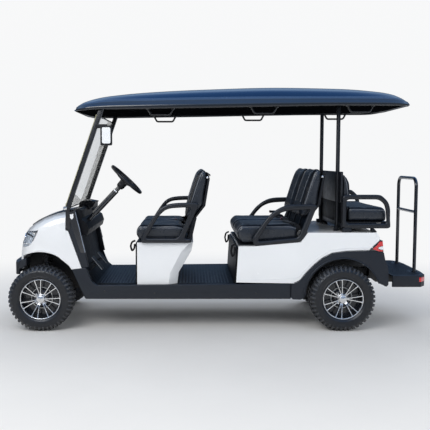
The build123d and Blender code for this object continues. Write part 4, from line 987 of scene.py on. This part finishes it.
# grey ribbed treads on the two pedals
bm = bmesh.new()
for y0, y1, high, low in ((-0.432, -0.348, (422, 623), (515, 511)), (-0.242, -0.178, (449, 640), (530, 544))):
    top, foot = Vector(front(*high)), Vector(front(*low))
    along = (foot - top).normalized()
    out = Vector((-along.y, along.x))
    prism(bm, [top, foot, foot + out * 0.007, top + out * 0.007], y0, y1)
    for k in range(9):
        rib = top + (foot - top) * (0.08 + 0.105 * k) + out * 0.0065
        wide, high = along * 0.0032, out * 0.0035
        prism(bm, [rib - wide, rib + wide, rib + wide + high, rib - wide + high], y0 + 0.006, y1 - 0.006)
outward(bm)
show(bm, "pedal_pads", "rubber_grip", (PEDAL_PAD,))

# the steering wheel: a rim with finger grips, swelling at three spokes, and a hub
RIM_RADIUS, GRIP_RADIUS = 0.172, 0.0138
FINGER_BUMPS = 44
SPOKE_ANGLES = [math.radians(90 + 120 * k) for k in range(3)]
SPOKE_STATIONS = [  # distance from the hub, lift, half width, half thickness
    (0.034, -0.030, 0.017, 0.006), (0.075, -0.026, 0.014, 0.005), (0.120, -0.014, 0.012, 0.005),
    (0.166, -0.002, 0.016, 0.006),
]
HUB = [
    (0, 0.012), (0, 0.036), (0.030, 0.040), (0.046, 0.050), (0.058, 0.052), (0.064, 0.046), (0.067, 0.030),
    (0.068, PIN),
]
bm = bmesh.new()
plane_u = Vector((0, 1, 0))
plane_v = COLUMN.cross(plane_u)
grid = []
for t in turns_of(96):
    radial = plane_u * math.cos(t) + plane_v * math.sin(t)
    swell = 1.0 + 0.05 * max(0.0, math.cos(3 * (t - SPOKE_ANGLES[0])))
    ring = []
    for a in turns_of(16):
        r = GRIP_RADIUS * swell * (1 + 0.05 * math.sin(t * FINGER_BUMPS) * max(0.0, -math.sin(a)))
        ring.append(bm.verts.new(WHEEL_AT + radial * (RIM_RADIUS + r * math.cos(a)) + COLUMN * r * math.sin(a)))
    grid.append(ring)
bridge(bm, grid, closed=True)
lathe(bm, HUB, WHEEL_AT - COLUMN * 0.066, COLUMN, 48, 1)
for t in SPOKE_ANGLES:
    radial = plane_u * math.cos(t) + plane_v * math.sin(t)
    aside = COLUMN.cross(radial)
    rows = []
    for dist, lift, half, thick in SPOKE_STATIONS:
        base = WHEEL_AT + radial * dist + COLUMN * lift
        section = ((half, thick), (-half, thick), (-half * 0.8, -thick), (half * 0.8, -thick))
        rows.append([bm.verts.new(base + aside * wide + COLUMN * high) for wide, high in section])
    bridge(bm, rows, 1)
    cap(bm, rows, 1)
outward(bm)
show(bm, "steering_wheel_look", "rubber_grip", (GRIP, BLACK_TRIM), 40, ("steering_wheel",), "steering_wheel")


# ---------------------------------------------------------------- ribbed mats and step tread
def node_islands(node):
    """The boxes of a node's separate solids, from front to rear."""
    bm = welded(node)
    left, out = set(bm.verts), []
    while left:
        todo, seen = [left.pop()], []
        while todo:
            v = todo.pop()
            seen.append(v)
            for e in v.link_edges:
                o = e.other_vert(v)
                if o in left:
                    left.discard(o)
                    todo.append(o)
        co = np.array([v.co for v in seen])
        out.append((co.min(0), co.max(0)))
    bm.free()
    return sorted(out, key=lambda b: b[0][0])


def rib(bm, x, z, half, flare, y0, y1, mat=0):
    """A low rib across the cart: half its width on top, wider by its flare at the foot."""
    section = [(x - half - flare, z[0]), (x - half, z[1]), (x + half, z[1]), (x + half + flare, z[0])]
    prism(bm, section, y0, y1, mat)


MAT_PITCH, STEP_PITCH = 0.0285, 0.017  # from rib to rib
bm = node_bmesh("floor_mats")
bevel(bm, 0.002, 2)
# the ribs take a lighter rubber than the mat they belong to: a painted highlight
for lo, hi in node_islands("floor_mats"):
    x = lo[0] + 0.022
    while x < hi[0] - 0.022:
        rib(bm, x, (hi[2] - 0.001, hi[2] + 0.0032), 0.0045, 0.0020, lo[1] + 0.018, hi[1] - 0.018, 1)
        x += MAT_PITCH
show_node(bm, "floor_mats", (MAT_RUBBER, RIB_HIGHLIGHT_RUBBER))

bm = bmesh.new()
lo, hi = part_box("rear_step")
x = lo.x + 0.022
while x < hi.x - 0.03:
    reach = 0.440 if x < hi.x - 0.085 else 0.440 - (x - hi.x + 0.085) * 2.2
    for y0 in np.arange(-reach, reach - 0.03, 0.052):
        if abs(abs(y0 + 0.02) - 0.262) >= 0.05 or abs(x - rear(745)) >= 0.045:  # clear of the grab bar's feet
            rib(bm, x, (hi.z - 0.0005, hi.z + 0.0022), 0.0035, 0.0015, y0, y0 + 0.040)
    x += STEP_PITCH
outward(bm)
show(bm, "step_tread", "grey_trim", (MAT_RUBBER,))

bm = bmesh.new()
for side in SIDES:
    outline = [(724, 470.5), (741, 470.5), (793, 410), (790, 407), (739, 467), (724, 467)]
    prism(bm, [(rear(px), side * py / 1000) for px, py in outline], 0.408, 0.448, upright=True)
outward(bm)
bevel(bm, 0.0015, 2, 50)
show(bm, "step_reflectors", "lamp_red", (LAMP_RED,))

# ---------------------------------------------------------------- rear body bead and tail lamps
FLARE_SEAM = [(229, 709), (36, 703), (-93, 686), (-182, 640), (-258, 575), (-322, 508), (-373, 443), (-424, 418)]
BODY_BEAD = [(262, 738), (-470, 462), (-640, 455), (-925, 452)]  # where the bead leaves the seam at both ends
NOSE_ARCH = [(-172, 655), (-120, 689), (-10, 708), (110, 683), (200, 616), (282, 548)]


def seam_offset(points, amount):
    """A line beside another one."""
    pts = [Vector(p) for p in points]
    return [p + Vector((w.y, -w.x)) * amount for p, w in zip(pts, headings(pts))]


bm = bmesh.new()
for side in SIDES:
    bead = [Vector(p) for p in BODY_BEAD]
    bead[1:1] = seam_offset(FLARE_SEAM, 30)[1:-1]
    for line, radius, y, turn, mat in (
        (bead, 0.0045, 0.5978, 0.16, 0), (seam_offset(FLARE_SEAM, 4), 0.0030, 0.5985, 0.06, 1),
    ):
        tube(bm, rounded_path([(rear(p.x), side * y, p.y / 1000) for p in line], turn), radius, 10, mat)
    arch = [math.radians(179 - 157 * k / 24) for k in range(25)]
    arch = [(rear(4 + 346 * math.cos(t)), side * 0.6118, WHEEL_Z + 0.358 * math.sin(t)) for t in arch]
    tube(bm, arch, 0.0075, 10, 2)
    xs = np.linspace(NOSE_ARCH[0][0], NOSE_ARCH[-1][0], 24)
    zs = curve_through([p[0] for p in NOSE_ARCH], [p[1] for p in NOSE_ARCH], xs)
    tube(bm, [(front(x), side * 0.5995, z / 1000 + 0.004) for x, z in zip(xs, zs) if x > -60], 0.0045, 10)
outward(bm)
show(bm, "rear_body_bead", "white_body", (WHITE, BLACK_TRIM, GREY_TRIM), 60)

RED_LENS = [
    (262, 724), (300, 758), (322, 790), (349, 790), (353, 752), (329, 748), (304, 735), (318, 719), (356, 713),
    (356, 703), (318, 704),
]
WHITE_LENS = [(309, 735), (331, 745), (353.5, 748), (355.5, 718), (321, 723)]
bm = node_bmesh("taillights")
bevel(bm, 0.003, 2)
for side in SIDES:
    for mat, outline in ((1, RED_LENS), (2, WHITE_LENS)):
        prism(bm, outline_at(rear, outline), side * 0.5992, side * 0.6018, mat)
    for z0, z1, mat in ((0.712, 0.740, 1), (0.746, 0.764, 2), (0.770, 0.790, 1)):  # the lenses' rear faces
        x0, x1 = (rear(349 + (799 - z * 1000) / 102 * 9) for z in (z0, z1))
        section = [(x0 - 0.004, z0), (x0 + 0.0018, z0), (x1 + 0.0018, z1), (x1 - 0.004, z1)]
        prism(bm, section, side * 0.440, side * 0.592, mat)
outward(bm)
show_node(bm, "taillights", (GLOSS_BLACK, LAMP_RED, LAMP_WHITE))

# ---------------------------------------------------------------- belts, knobs, bolts and springs
bm = bmesh.new()
for x, z, ys in (
    (AXLE_FRONT + 1.268, 0.892, (-0.030, 0.030)), (AXLE_REAR - 0.430, 0.945, (-0.030, 0.030, -0.43, 0.43)),
):
    for y in ys:
        lean = 0.015 if y > 0 else -0.009
        stalk = [(x + 0.050, y, z - 0.050), (x + 0.015, y, z + 0.005), (x - 0.045, y + lean, z + 0.030)]
        tube(bm, rounded_path(stalk, 0.03, 5), 0.0115, 10, 0, 0.35)
        tip = Vector(stalk[-1])
        box(bm, (tip.x - 0.050, tip.x + 0.006), (tip.y - 0.016, tip.y + 0.016), (tip.z - 0.010, tip.z + 0.013), 1)
        box(bm, (tip.x - 0.053, tip.x - 0.036), (tip.y - 0.012, tip.y + 0.012), (tip.z - 0.006, tip.z + 0.015), 2)
outward(bm)
bevel(bm, 0.003, 2, 50)
show(bm, "belt_buckles", "black_trim", (BELT, BLACK_TRIM, BUCKLE_RED), 45)


def webbing(bm, path, width, across, thick=0.0016):
    """A flat strap along a path."""
    across = Vector(across).normalized() * width
    rows = []
    for p, along in zip(path, headings(path)):
        out = across.cross(along).normalized() * thick / 2
        rows.append([bm.verts.new(p + across * a / 2 + out * b) for a, b in ((-1, 1), (1, 1), (1, -1), (-1, -1))])
    bridge(bm, rows)
    cap(bm, rows)


bm = bmesh.new()
# lap belts run over each cushion's rear edge into the gap beside the buckle
for axle_x, z in ((AXLE_FRONT + 1.242, 0.918), (AXLE_REAR - 0.430, 0.936)):
    for side in SIDES:
        path = [
            (axle_x + x, side * y, z + rise) for x, y, rise in (
                (0.062, 0.505, -0.055), (0.030, 0.500, 0.002), (-0.020, 0.420, 0.010), (-0.035, 0.250, 0.012),
                (-0.018, 0.110, 0.010), (0.058, 0.075, -0.050),
            )
        ]
        webbing(bm, rounded_path(path, 0.10, 5), 0.044, (1, 0, 0.12))
# straps hanging in front of the benches
for x, z, low in ((front(806), 0.790, 0.690), (rear(-960), 0.760, 0.640)):
    for side in SIDES:
        loop = [
            (x + 0.022, side * 0.520, z), (x - 0.010, side * 0.522, z - 0.012),
            (x - 0.020, side * 0.526, (z + low) / 2), (x - 0.008, side * 0.526, low + 0.006),
            (x + 0.012, side * 0.520, low + 0.030), (x + 0.016, side * 0.518, z - 0.03),
        ]
        tube(bm, rounded_path(loop, 0.03, 5), 0.0085, 8)
outward(bm)
show(bm, "belt_webbing_straps", "black_trim", (BELT,), 50)

BACK_KNOB = [(0, PIN), (0, 0.010), (0.004, 0.011), (0.010, 0.009), (0.012, PIN)]
BACK_SCREW = [(0, PIN), (0, 0.009), (0.005, 0.009), (0.007, PIN)]
bm = bmesh.new()
for x, z in ((AXLE_FRONT + 1.484, 1.372), (AXLE_REAR - 1.643 + 1.484, 1.380)):
    for side in SIDES:
        for y in (0.030, 0.512):
            lathe(bm, BACK_KNOB, (x, side * y, z), (0.95, 0, 0.3), 20, 1)
        lathe(bm, BACK_SCREW, (x - 0.016, side * 0.5235, z - 0.020), (0, side, 0), 20)
outward(bm)
show(bm, "back_screws", "zinc_steel", (CHROME, BLACK_TRIM))

BOLT = [(0, PIN), (0, 0.0075), (0.0015, 0.0075), (0.0035, 0.0045), (0.0035, PIN)]
BOLTS = [
    (front(1000), 0.601, 0.330), (front(1900), 0.601, 0.330), (front(560), 0.601, 0.350), (rear(20), 0.561, 0.923),
    (rear(60), 0.561, 0.923), (rear(408), 0.561, 0.923), (rear(16), 0.561, 1.170), (front(905), 0.6005, 0.797),
    (front(1290), 0.6005, 0.797), (rear(-740), 0.6005, 0.780), (rear(-370), 0.6005, 0.812),
]
bm = bmesh.new()
for x, y, z in BOLTS:
    for side in SIDES:
        lathe(bm, BOLT, (x, side * (y - 0.0012), z), (0, side, 0), 16)
outward(bm)
show(bm, "panel_bolts", "zinc_steel", (FRAME_BLACK,))

COIL_TURNS, COIL_STEPS, COIL_RADIUS = 7, 18, 0.041
COIL_FOOT, COIL_HEAD = 0.235, 0.640
bm = bmesh.new()
for side in SIDES:
    path = []
    for k in range(COIL_TURNS * COIL_STEPS + 1):
        t = k / COIL_STEPS * 2 * math.pi
        height = COIL_FOOT + (COIL_HEAD - COIL_FOOT) * k / (COIL_TURNS * COIL_STEPS)
        path.append((front(10) + COIL_RADIUS * math.cos(t), side * 0.360 + COIL_RADIUS * math.sin(t), height))
    tube(bm, path, 0.0062, 8)
outward(bm)
show(bm, "front_coil_springs", "black_steel", (SATIN_BLACK,), 60)

# black boards below the seat backs, a pan under the flip seat, and blocks on the deck behind the middle bench
bm = bmesh.new()
for at, outline in (
    (front, [(1290, 800), (1300, 798), (1360, 985), (1350, 987)]),
    (rear, [(-326, 866), (-318, 862), (-280, 992), (-288, 994)]), (rear, [(0, 940), (9, 940), (9, 1130), (0, 1130)]),
):
    prism(bm, outline_at(at, outline), -0.512, 0.512, 1)
box(bm, (rear(62), rear(324)), (-0.499, 0.499), (0.912, 0.9435), 1)
for side in SIDES:
    box(bm, (rear(60), rear(400)), (side * 0.5118, side * 0.5205), (0.924, 0.9455), 1)
    for y0, y1, outline in (
        (0.395, 0.440, [(-45, 869), (-5, 869), (-5, 905), (-45, 905)]),
        (0.500, 0.555, [(262, 869), (312, 869), (300, 884), (285, 900), (262, 900)]),
    ):
        prism(bm, outline_at(rear, outline), side * y0, side * y1)
outward(bm)
bevel(bm, 0.003, 2)
show(bm, "deck_blocks", "black_trim", (BLACK_TRIM, DARK_INSIDE))

# ---------------------------------------------------------------- outlines seen from the side
def headings_round(pts):
    """The direction of a closed outline at each of its points."""
    return [(pts[(i + 1) % len(pts)] - pts[i - 1]).normalized() for i in range(len(pts))]


def inset_outline(pts, amount):
    """Move a counter-clockwise outline inward."""
    return [p + Vector((-w.y, w.x)) * amount for p, w in zip(pts, headings_round(pts))]


def smooth_outline(points, cut=0.020):
    """A closed outline with each corner turned into a small arc, made counter-clockwise."""
    pts = [Vector(p) for p in points]
    out = []
    for before, p, after in zip(pts[-1:] + pts, pts, pts[1:] + pts[:1]):
        ends = [p + w.normalized() * min(cut, 0.42 * w.length) for w in (before - p, after - p)]
        out += bend(ends[0], p, ends[1], 4)
    area = sum(a.x * b.y - b.x * a.y for a, b in zip(out, out[1:] + out[:1]))
    return out if area > 0 else out[::-1]


# ---------------------------------------------------------------- arms of both benches and the rear frame
EDGE_STEPS = 4
ARM_LOOPS = (  # axle, outline, gap
    (
        front,
        [
            (870, 776.3), (894, 848), (945, 934), (995, 1011), (1046, 1077), (1086, 1105), (1126, 1120), (1197, 1130),
            (1375, 1134), (1392, 1118), (1385, 1090), (1300, 900), (1262, 815), (1326, 815), (1326, 776.3),
        ],
        [
            (925, 818), (945, 848), (995, 940), (1046, 1021), (1096, 1067), (1147, 1083), (1263, 1090), (1330, 1088),
            (1250, 900), (1205, 818),
        ],
    ),
    (
        rear,
        [
            (-784, 765), (-800, 812), (-721, 928), (-654, 1016), (-588, 1070), (-521, 1103), (-454, 1115),
            (-253, 1120), (-225, 1100), (-240, 1072), (-315, 880), (-315, 858.3), (-370, 784.3), (-772, 748.3),
        ],
        [
            (-745, 795), (-739, 815), (-654, 955), (-587, 1023), (-520, 1054), (-453, 1064), (-299, 1072),
            (-292, 1066), (-392, 825), (-719, 792),
        ],
    ),
)


def rounded_band(bm, outline, y0, y1, edge, into):
    """The wall along an outline with round edges towards both sides; into is 1 where the outline shrinks there."""
    steps = range(EDGE_STEPS + 1)
    rings = []
    for t, y, way in [(t, y0 + edge, -1) for t in reversed(steps)] + [(t, y1 - edge, 1) for t in steps]:
        turn = math.pi / 2 * t / EDGE_STEPS
        ring = inset_outline(outline, into * edge * (1 - math.cos(turn)))
        rings.append([bm.verts.new((p.x, y + way * edge * math.sin(turn), p.y)) for p in ring])
    bridge(bm, rings)
    return rings[0], rings[-1]


def arm_loops(bm, loops, ys, edge):
    """Loops with round edges, each an outline with a gap in it, on both sides of the cart."""
    for at, outer, gap in loops:
        outer = smooth_outline(outline_at(at, outer), 0.036)
        gap = smooth_outline(outline_at(at, gap), 0.030)
        for side in SIDES:
            y0, y1 = sorted((side * ys[0], side * ys[1]))
            for rims in zip(rounded_band(bm, outer, y0, y1, edge, 1), rounded_band(bm, gap, y0, y1, edge, -1)):
                border = [bm.edges.get((ring[k], ring[k - 1])) for ring in rims for k in range(len(ring))]
                bmesh.ops.triangle_fill(bm, use_beauty=True, use_dissolve=False, edges=border)
    outward(bm)


bm = bmesh.new()
arm_loops(bm, ARM_LOOPS, (0.560, 0.600), 0.0135)
show_node(bm, "seat_arms", (ARM_BLACK,), 50)

# the rear frame: roof posts, cross beam, feet, board behind the backs, hinge pins and side loops
REAR_LOOPS = ((
    rear,
    [(0, 901), (428, 901), (428, 946), (424, 970), (424, 1075), (404, 1140), (345, 1195), (310, 1200), (0, 1200)],
    [(36, 946), (398, 946), (388, 1060), (372, 1120), (320, 1158), (36, 1158)],
),)
bm = bmesh.new()
post_top = max((NODES["rear_seat_frame"].matrix_world @ v.co).z for v in NODES["rear_seat_frame"].data.vertices)
for side in SIDES:
    tube(bm, [(rear(-10), side * 0.380, 0.8683), (rear(-10), side * 0.380, post_top)], 0.018, 24)
    tube(bm, [(rear(375), side * 0.521, 0.938), (rear(375), side * 0.498, 0.938)], 0.006, 16)
    box(bm, (rear(5), rear(85)), (side * 0.480, side * 0.560), (0.8683, 0.904))
box(bm, (rear(0), rear(66)), (-0.522, 0.522), (0.901, 0.9457))
box(bm, (rear(-6), rear(14)), (-0.500, 0.500), (1.125, 1.402))
outward(bm)
bevel(bm, 0.005, 3)
arm_loops(bm, REAR_LOOPS, (0.520, 0.560), 0.012)
show_node(bm, "rear_seat_frame", (ARM_BLACK,), 50)

# ---------------------------------------------------------------- how a cushion is made
SHRINK = 0.006  # how much smaller a cushion starts, to swell up to its size
SWELL_CAP = 0.012  # how far the cloth may move
SWELL_FRAMES = 20
# keeps all pieces together under a million triangles
VOXEL = 0.0098  # the voxel size of the cushions' remesh, which sets their triangle count
CORNER = 0.07  # the width over which a back's upper corners fall
SEAM_PRESS = ((0.0035, 0.011), (0.0055, 0.013), (0.0022, 0.009))  # depth and reach: sides, panel lines, channels
SEAM_STEP = 0.004  # between the points along a seam that press it in
PIPING_RADIUS, PIPING_SUNK = 0.0030, 0.0012
SIDE_FACE, AWAY_FACE = 0.72, 0.75  # how squarely a face has to face its way to count


def block_cushion(outline, y0, y1, edge, drop):
    """A cushion's starting shape: an outline across y0 to y1 with rounded side edges.

    drop lowers the upper corners, as on a seat back.
    """
    pts = inset_outline(smooth_outline(outline), SHRINK)
    y0, y1 = y0 + SHRINK, y1 - SHRINK
    low, top = min(p.y for p in pts), max(p.y for p in pts)
    depths = [edge * s for s in (0, 0.12, 0.35, 0.65, 1.0)] + [max(edge, CORNER) + 0.01]
    bm = bmesh.new()
    rows = []
    for y, d in [(y0 + d, d) for d in depths] + [(y1 - d, d) for d in reversed(depths)]:
        cut = edge - math.sqrt(max(0.0, edge ** 2 - (edge - d) ** 2)) if d < edge else 0.0
        fall = drop * (1 - math.sqrt(max(0.0, 1 - (1 - d / CORNER) ** 2))) if d < CORNER else 0.0
        rows.append([
            bm.verts.new((p.x, y, low + (p.y - low) * (1 - fall / (top - low)) if p.y > low else p.y))
            for p in inset_outline(pts, cut)
        ])
    bridge(bm, rows)
    cap(bm, rows)
    outward(bm)
    mesh = bpy.data.meshes.new("cushion_start")
    bm.to_mesh(mesh)
    bm.free()
    return mesh


def coordinates(mesh):
    co = np.zeros(len(mesh.vertices) * 3)
    mesh.vertices.foreach_get("co", co)
    return co.reshape(-1, 3)


def swell(obj):
    """Where the vertices settle as cloth under pressure, each within its cap."""
    rest = coordinates(obj.data)
    s = obj.modifiers.new("cloth", "CLOTH").settings
    s.quality = 4
    s.mass = 0.3
    s.tension_stiffness = s.compression_stiffness = 18
    s.shear_stiffness = 8
    s.bending_stiffness = 0.6
    s.use_pressure = True
    s.uniform_pressure_force = 4
    s.effector_weights.gravity = 0
    for f in range(1, SWELL_FRAMES + 1):
        bpy.context.scene.frame_set(f)
    move = coordinates(evaluated(obj)) - rest
    obj.modifiers.clear()
    bpy.context.scene.frame_set(1)
    size = np.linalg.norm(move, axis=1, keepdims=True)
    return rest + move * np.minimum(1.0, SWELL_CAP / np.maximum(size, 1e-9))


def inflate(mesh, low, high):
    """Remesh a starting shape, swell it and return the settled mesh, kept within a box."""
    obj = in_scene("swelling", mesh)
    remesh = obj.modifiers.new("voxels", "REMESH")
    remesh.mode = "VOXEL"
    remesh.voxel_size = VOXEL
    settled = evaluated(obj)
    obj.modifiers.clear()
    obj.data = settled
    co = swell(obj)
    co = np.clip(co, np.array(low) + 0.0005, np.array(high) - 0.0005)
    settled.vertices.foreach_set("co", co.ravel())
    bpy.data.objects.remove(obj)
    obj = in_scene("finer", settled)
    obj.modifiers.new("relax", "SMOOTH").iterations = 4
    obj.modifiers.new("finer", "SUBSURF").levels = 1
    out = evaluated(obj)
    bpy.data.objects.remove(obj)
    return out


def press(mesh, paths, depth, reach):
    """Press a surface in along each path of (place, normal) pairs."""
    co = coordinates(mesh)
    no = np.zeros(co.size)
    mesh.vertex_normals.foreach_get("vector", no)
    no = no.reshape(-1, 3)
    samples = []
    for path in paths:
        spots = [p for p, _ in path]
        for a, b in zip(spots, spots[1:]):
            steps = max(1, int((b - a).length / SEAM_STEP))
            samples += [a.lerp(b, k / steps) for k in range(steps)]
        samples.append(spots[-1])
    tree = KDTree(len(samples))
    for i, s in enumerate(samples):
        tree.insert(s, i)
    tree.balance()
    for i in range(len(co)):
        far = tree.find(co[i])[2]
        if far < reach:
            co[i] -= no[i] * depth * (1 - (far / reach) ** 2) ** 2
    mesh.vertices.foreach_set("co", co.ravel())


def cushion_paths(mesh, outline, y0, y1, panel, channels, ends):
    """Seam paths of one cushion: its two side edges, the panel's two lines and the channels across it.

    The seams follow the outline counter-clockwise from one of the two ends to the other.
    """
    bm = bmesh.new()
    bm.from_mesh(mesh)
    tree = BVHTree.FromBMesh(bm)
    bm.free()
    pts = smooth_outline(outline)
    first, last = (min(range(len(pts)), key=lambda i: (pts[i] - Vector(end)).length) for end in ends)
    run = [i % len(pts) for i in range(first, last + 1 if last > first else last + len(pts) + 1)]
    out_of = [Vector((w.y, -w.x)) for w in headings_round(pts)]
    order, normals = [pts[i] for i in run], [out_of[i] for i in run]

    def on_skin(stations, inside, aside=0):
        """Where rays from inside the cushion meet its skin, from (point, normal, y) stations."""
        hits = []
        for p, q, y in stations:
            deep = p - q * inside
            aim = Vector((q.x, aside, q.y)).normalized()
            hits.append(tree.ray_cast(Vector((deep.x, y - aside * inside, deep.y)), aim)[:2])
        return [hit for hit in hits if hit[0]]

    sides = [on_skin([(p, q, y) for p, q in zip(order, normals)], 0.040, out) for y, out in ((y0, -1), (y1, 1))]
    lines = [on_skin([(p, q, y) for p, q in zip(order, normals)], 0.030) for y in (y0 + panel, y1 - panel)]
    total = [0.0]
    for a, b in zip(order, order[1:]):
        total.append(total[-1] + (b - a).length)
    across = []
    for k in range(1, channels + 1):
        want = total[-1] * k / (channels + 1)
        i = max(j for j in range(len(total) - 1) if total[j] <= want)
        t = (want - total[i]) / max(1e-9, total[i + 1] - total[i])
        p, q = order[i].lerp(order[i + 1], t), normals[i].lerp(normals[i + 1], t).normalized()
        across.append(on_skin([(p, q, y0 + panel + (y1 - y0 - 2 * panel) * j / 12) for j in range(13)], 0.030))
    return sides, lines, across


def lay_piping(bm, path):
    """A thin cord, sunk a little into the skin along a seam."""
    pts = [p - q * PIPING_SUNK for p, q in path]
    for _ in range(2):
        pts = [pts[0]] + [(a + b * 2 + c) / 4 for a, b, c in zip(pts, pts[1:], pts[2:])] + [pts[-1]]
    if len(pts) > 2:
        tube(bm, pts, PIPING_RADIUS, 8, 2)


def finish_cushion(name, mesh, paths, body, node, fill, panel_y, away):
    for group, (depth, reach) in zip(paths, SEAM_PRESS):
        press(mesh, group, depth, reach)
    bm = bmesh.new()
    bm.from_mesh(mesh)
    bm.normal_update()
    # faces that face sideways take the slate vinyl, whose lighter bluer colour is partly a painted sky reflection
    for f in bm.faces:
        if abs(f.normal.y) > SIDE_FACE:
            f.material_index = 1
        elif f.normal.dot(Vector(away)) > AWAY_FACE:
            f.material_index = 4
        else:
            f.material_index = 3 if panel_y[0] < f.calc_center_median().y < panel_y[1] else 0
    for path in paths[0] + paths[1]:
        lay_piping(bm, path)
    for f in bm.faces:
        f.smooth = True
    out = bpy.data.meshes.new(name)
    bm.to_mesh(out)
    bm.free()
    mats = (VINYL, VINYL_SIDE_PAINTED_SHEEN, PIPING, VINYL_PANEL, DARK_INSIDE)
    hang(out, name, "seat_vinyl", mats, (node,), body)


def placed(mesh, paths, side, shift):
    """A copy of a settled cushion and its seams, moved by the shift, and mirrored where side is -1."""
    matrix = Matrix.Diagonal((1, side, 1, 1)) @ Matrix.Translation(shift)
    bm = bmesh.new()
    bm.from_mesh(mesh)
    bm.transform(matrix)
    if side < 0:
        bmesh.ops.reverse_faces(bm, faces=bm.faces)
    out = bpy.data.meshes.new(mesh.name)
    bm.to_mesh(out)
    bm.free()
    flip = Vector((1, side, 1))
    return out, [[[(matrix @ p, q * flip) for p, q in path] for path in group] for group in paths]


def cushion(outline, ys, edge, panel, channels, ends, drop=0.0):
    """A settled cushion with its seam paths."""
    xs, zs = zip(*outline)
    mesh = inflate(block_cushion(outline, *ys, edge, drop), (min(xs), ys[0], min(zs)), (max(xs), ys[1], max(zs)))
    return mesh, cushion_paths(mesh, outline, *ys, panel, channels, ends)


# ---------------------------------------------------------------- cushions and backs
BENCH_Y, BACK_Y, REAR_BACK_Y, FLIP_Y = (0.008, 0.545), (0.015, 0.530), (0.015, 0.500), (-0.510, 0.510)
FRONT_CUSHION = [(822, 838), (822, 885), (848, 930), (1180, 932), (1276, 915), (1276, 788.3), (856, 788.3)]
MIDDLE_CUSHION = [
    (-947, 868), (-938, 898), (-900, 932), (-450, 935), (-376, 915), (-376, 796.5), (-772, 760.6), (-891, 759.9),
    (-930, 800),
]
BACK = [
    (1258, 988), (1302, 1134), (1346, 1277), (1382, 1380), (1412, 1432), (1450, 1430), (1470, 1385), (1470, 1339),
    (1431, 1104), (1344, 988),
]
REAR_BACK = [(14.5, 1135), (70, 1135), (84, 1165), (86, 1190), (76, 1300), (52, 1356), (22, 1404), (14.5, 1404)]
FLIP_CUSHION = [(52, 956.4), (420, 956.4), (420, 1040), (398, 1082), (76, 1086), (52, 1064)]
DOWN, REARWARD, FORWARD = (0, 0, -1), (1, 0, 0), (-1, 0, 0)
PAIRS = [
    # label, axle, outline, y, edge, panel, channels, ends of the seams, drop, side away from the sitter, nodes
    (
        "cushion", front, FRONT_CUSHION, BENCH_Y, 0.030, 0.105, 4, [(1270, 905), (830, 850)], 0, DOWN,
        {"front_seat_cushions": (0, 0, 0)},
    ),
    (
        "cushion", rear, MIDDLE_CUSHION, BENCH_Y, 0.030, 0.105, 4, [(-382, 905), (-940, 860)], 0, DOWN,
        {"middle_seat_cushions": (0, 0, 0)},
    ),
    (
        "back", front, BACK, BACK_Y, 0.034, 0.115, 7, [(1462, 1400), (1262, 1000)], 0.045, REARWARD,
        {"front_seat_backs": (0, 0, 0), "middle_seat_backs": (1.017, 0, 0.008)},
    ),
    (
        "back", rear, REAR_BACK, REAR_BACK_Y, 0.024, 0.105, 4, [(60, 1137), (24, 1400)], 0.035, FORWARD,
        {"rear_seat_backs": (0, 0, 0)},
    ),
]
for label, at, outline, ys, edge, panel, channels, ends, drop, away, nodes in PAIRS:
    mesh, paths = cushion(outline_at(at, outline), ys, edge, panel, channels, outline_at(at, ends), drop)
    for node, shift in nodes.items():
        for side, side_name in ((1, "right"), (-1, "left")):
            panel_y = sorted((side * (ys[0] + panel), side * (ys[1] - panel)))
            finish_cushion(
                f"{label}_{node}_{side_name}", *placed(mesh, paths, side, shift), CHASSIS, node, 0.8, panel_y, away,
            )

flip_ends = outline_at(rear, [(416, 1030), (56, 1050)])
mesh, paths = cushion(outline_at(rear, FLIP_CUSHION), FLIP_Y, 0.026, 0.110, 4, flip_ends)
finish_cushion("cushion_flip_seat", mesh, paths, "flip_seat", "flip_seat_cushion", 0.85, (-0.400, 0.400), DOWN)
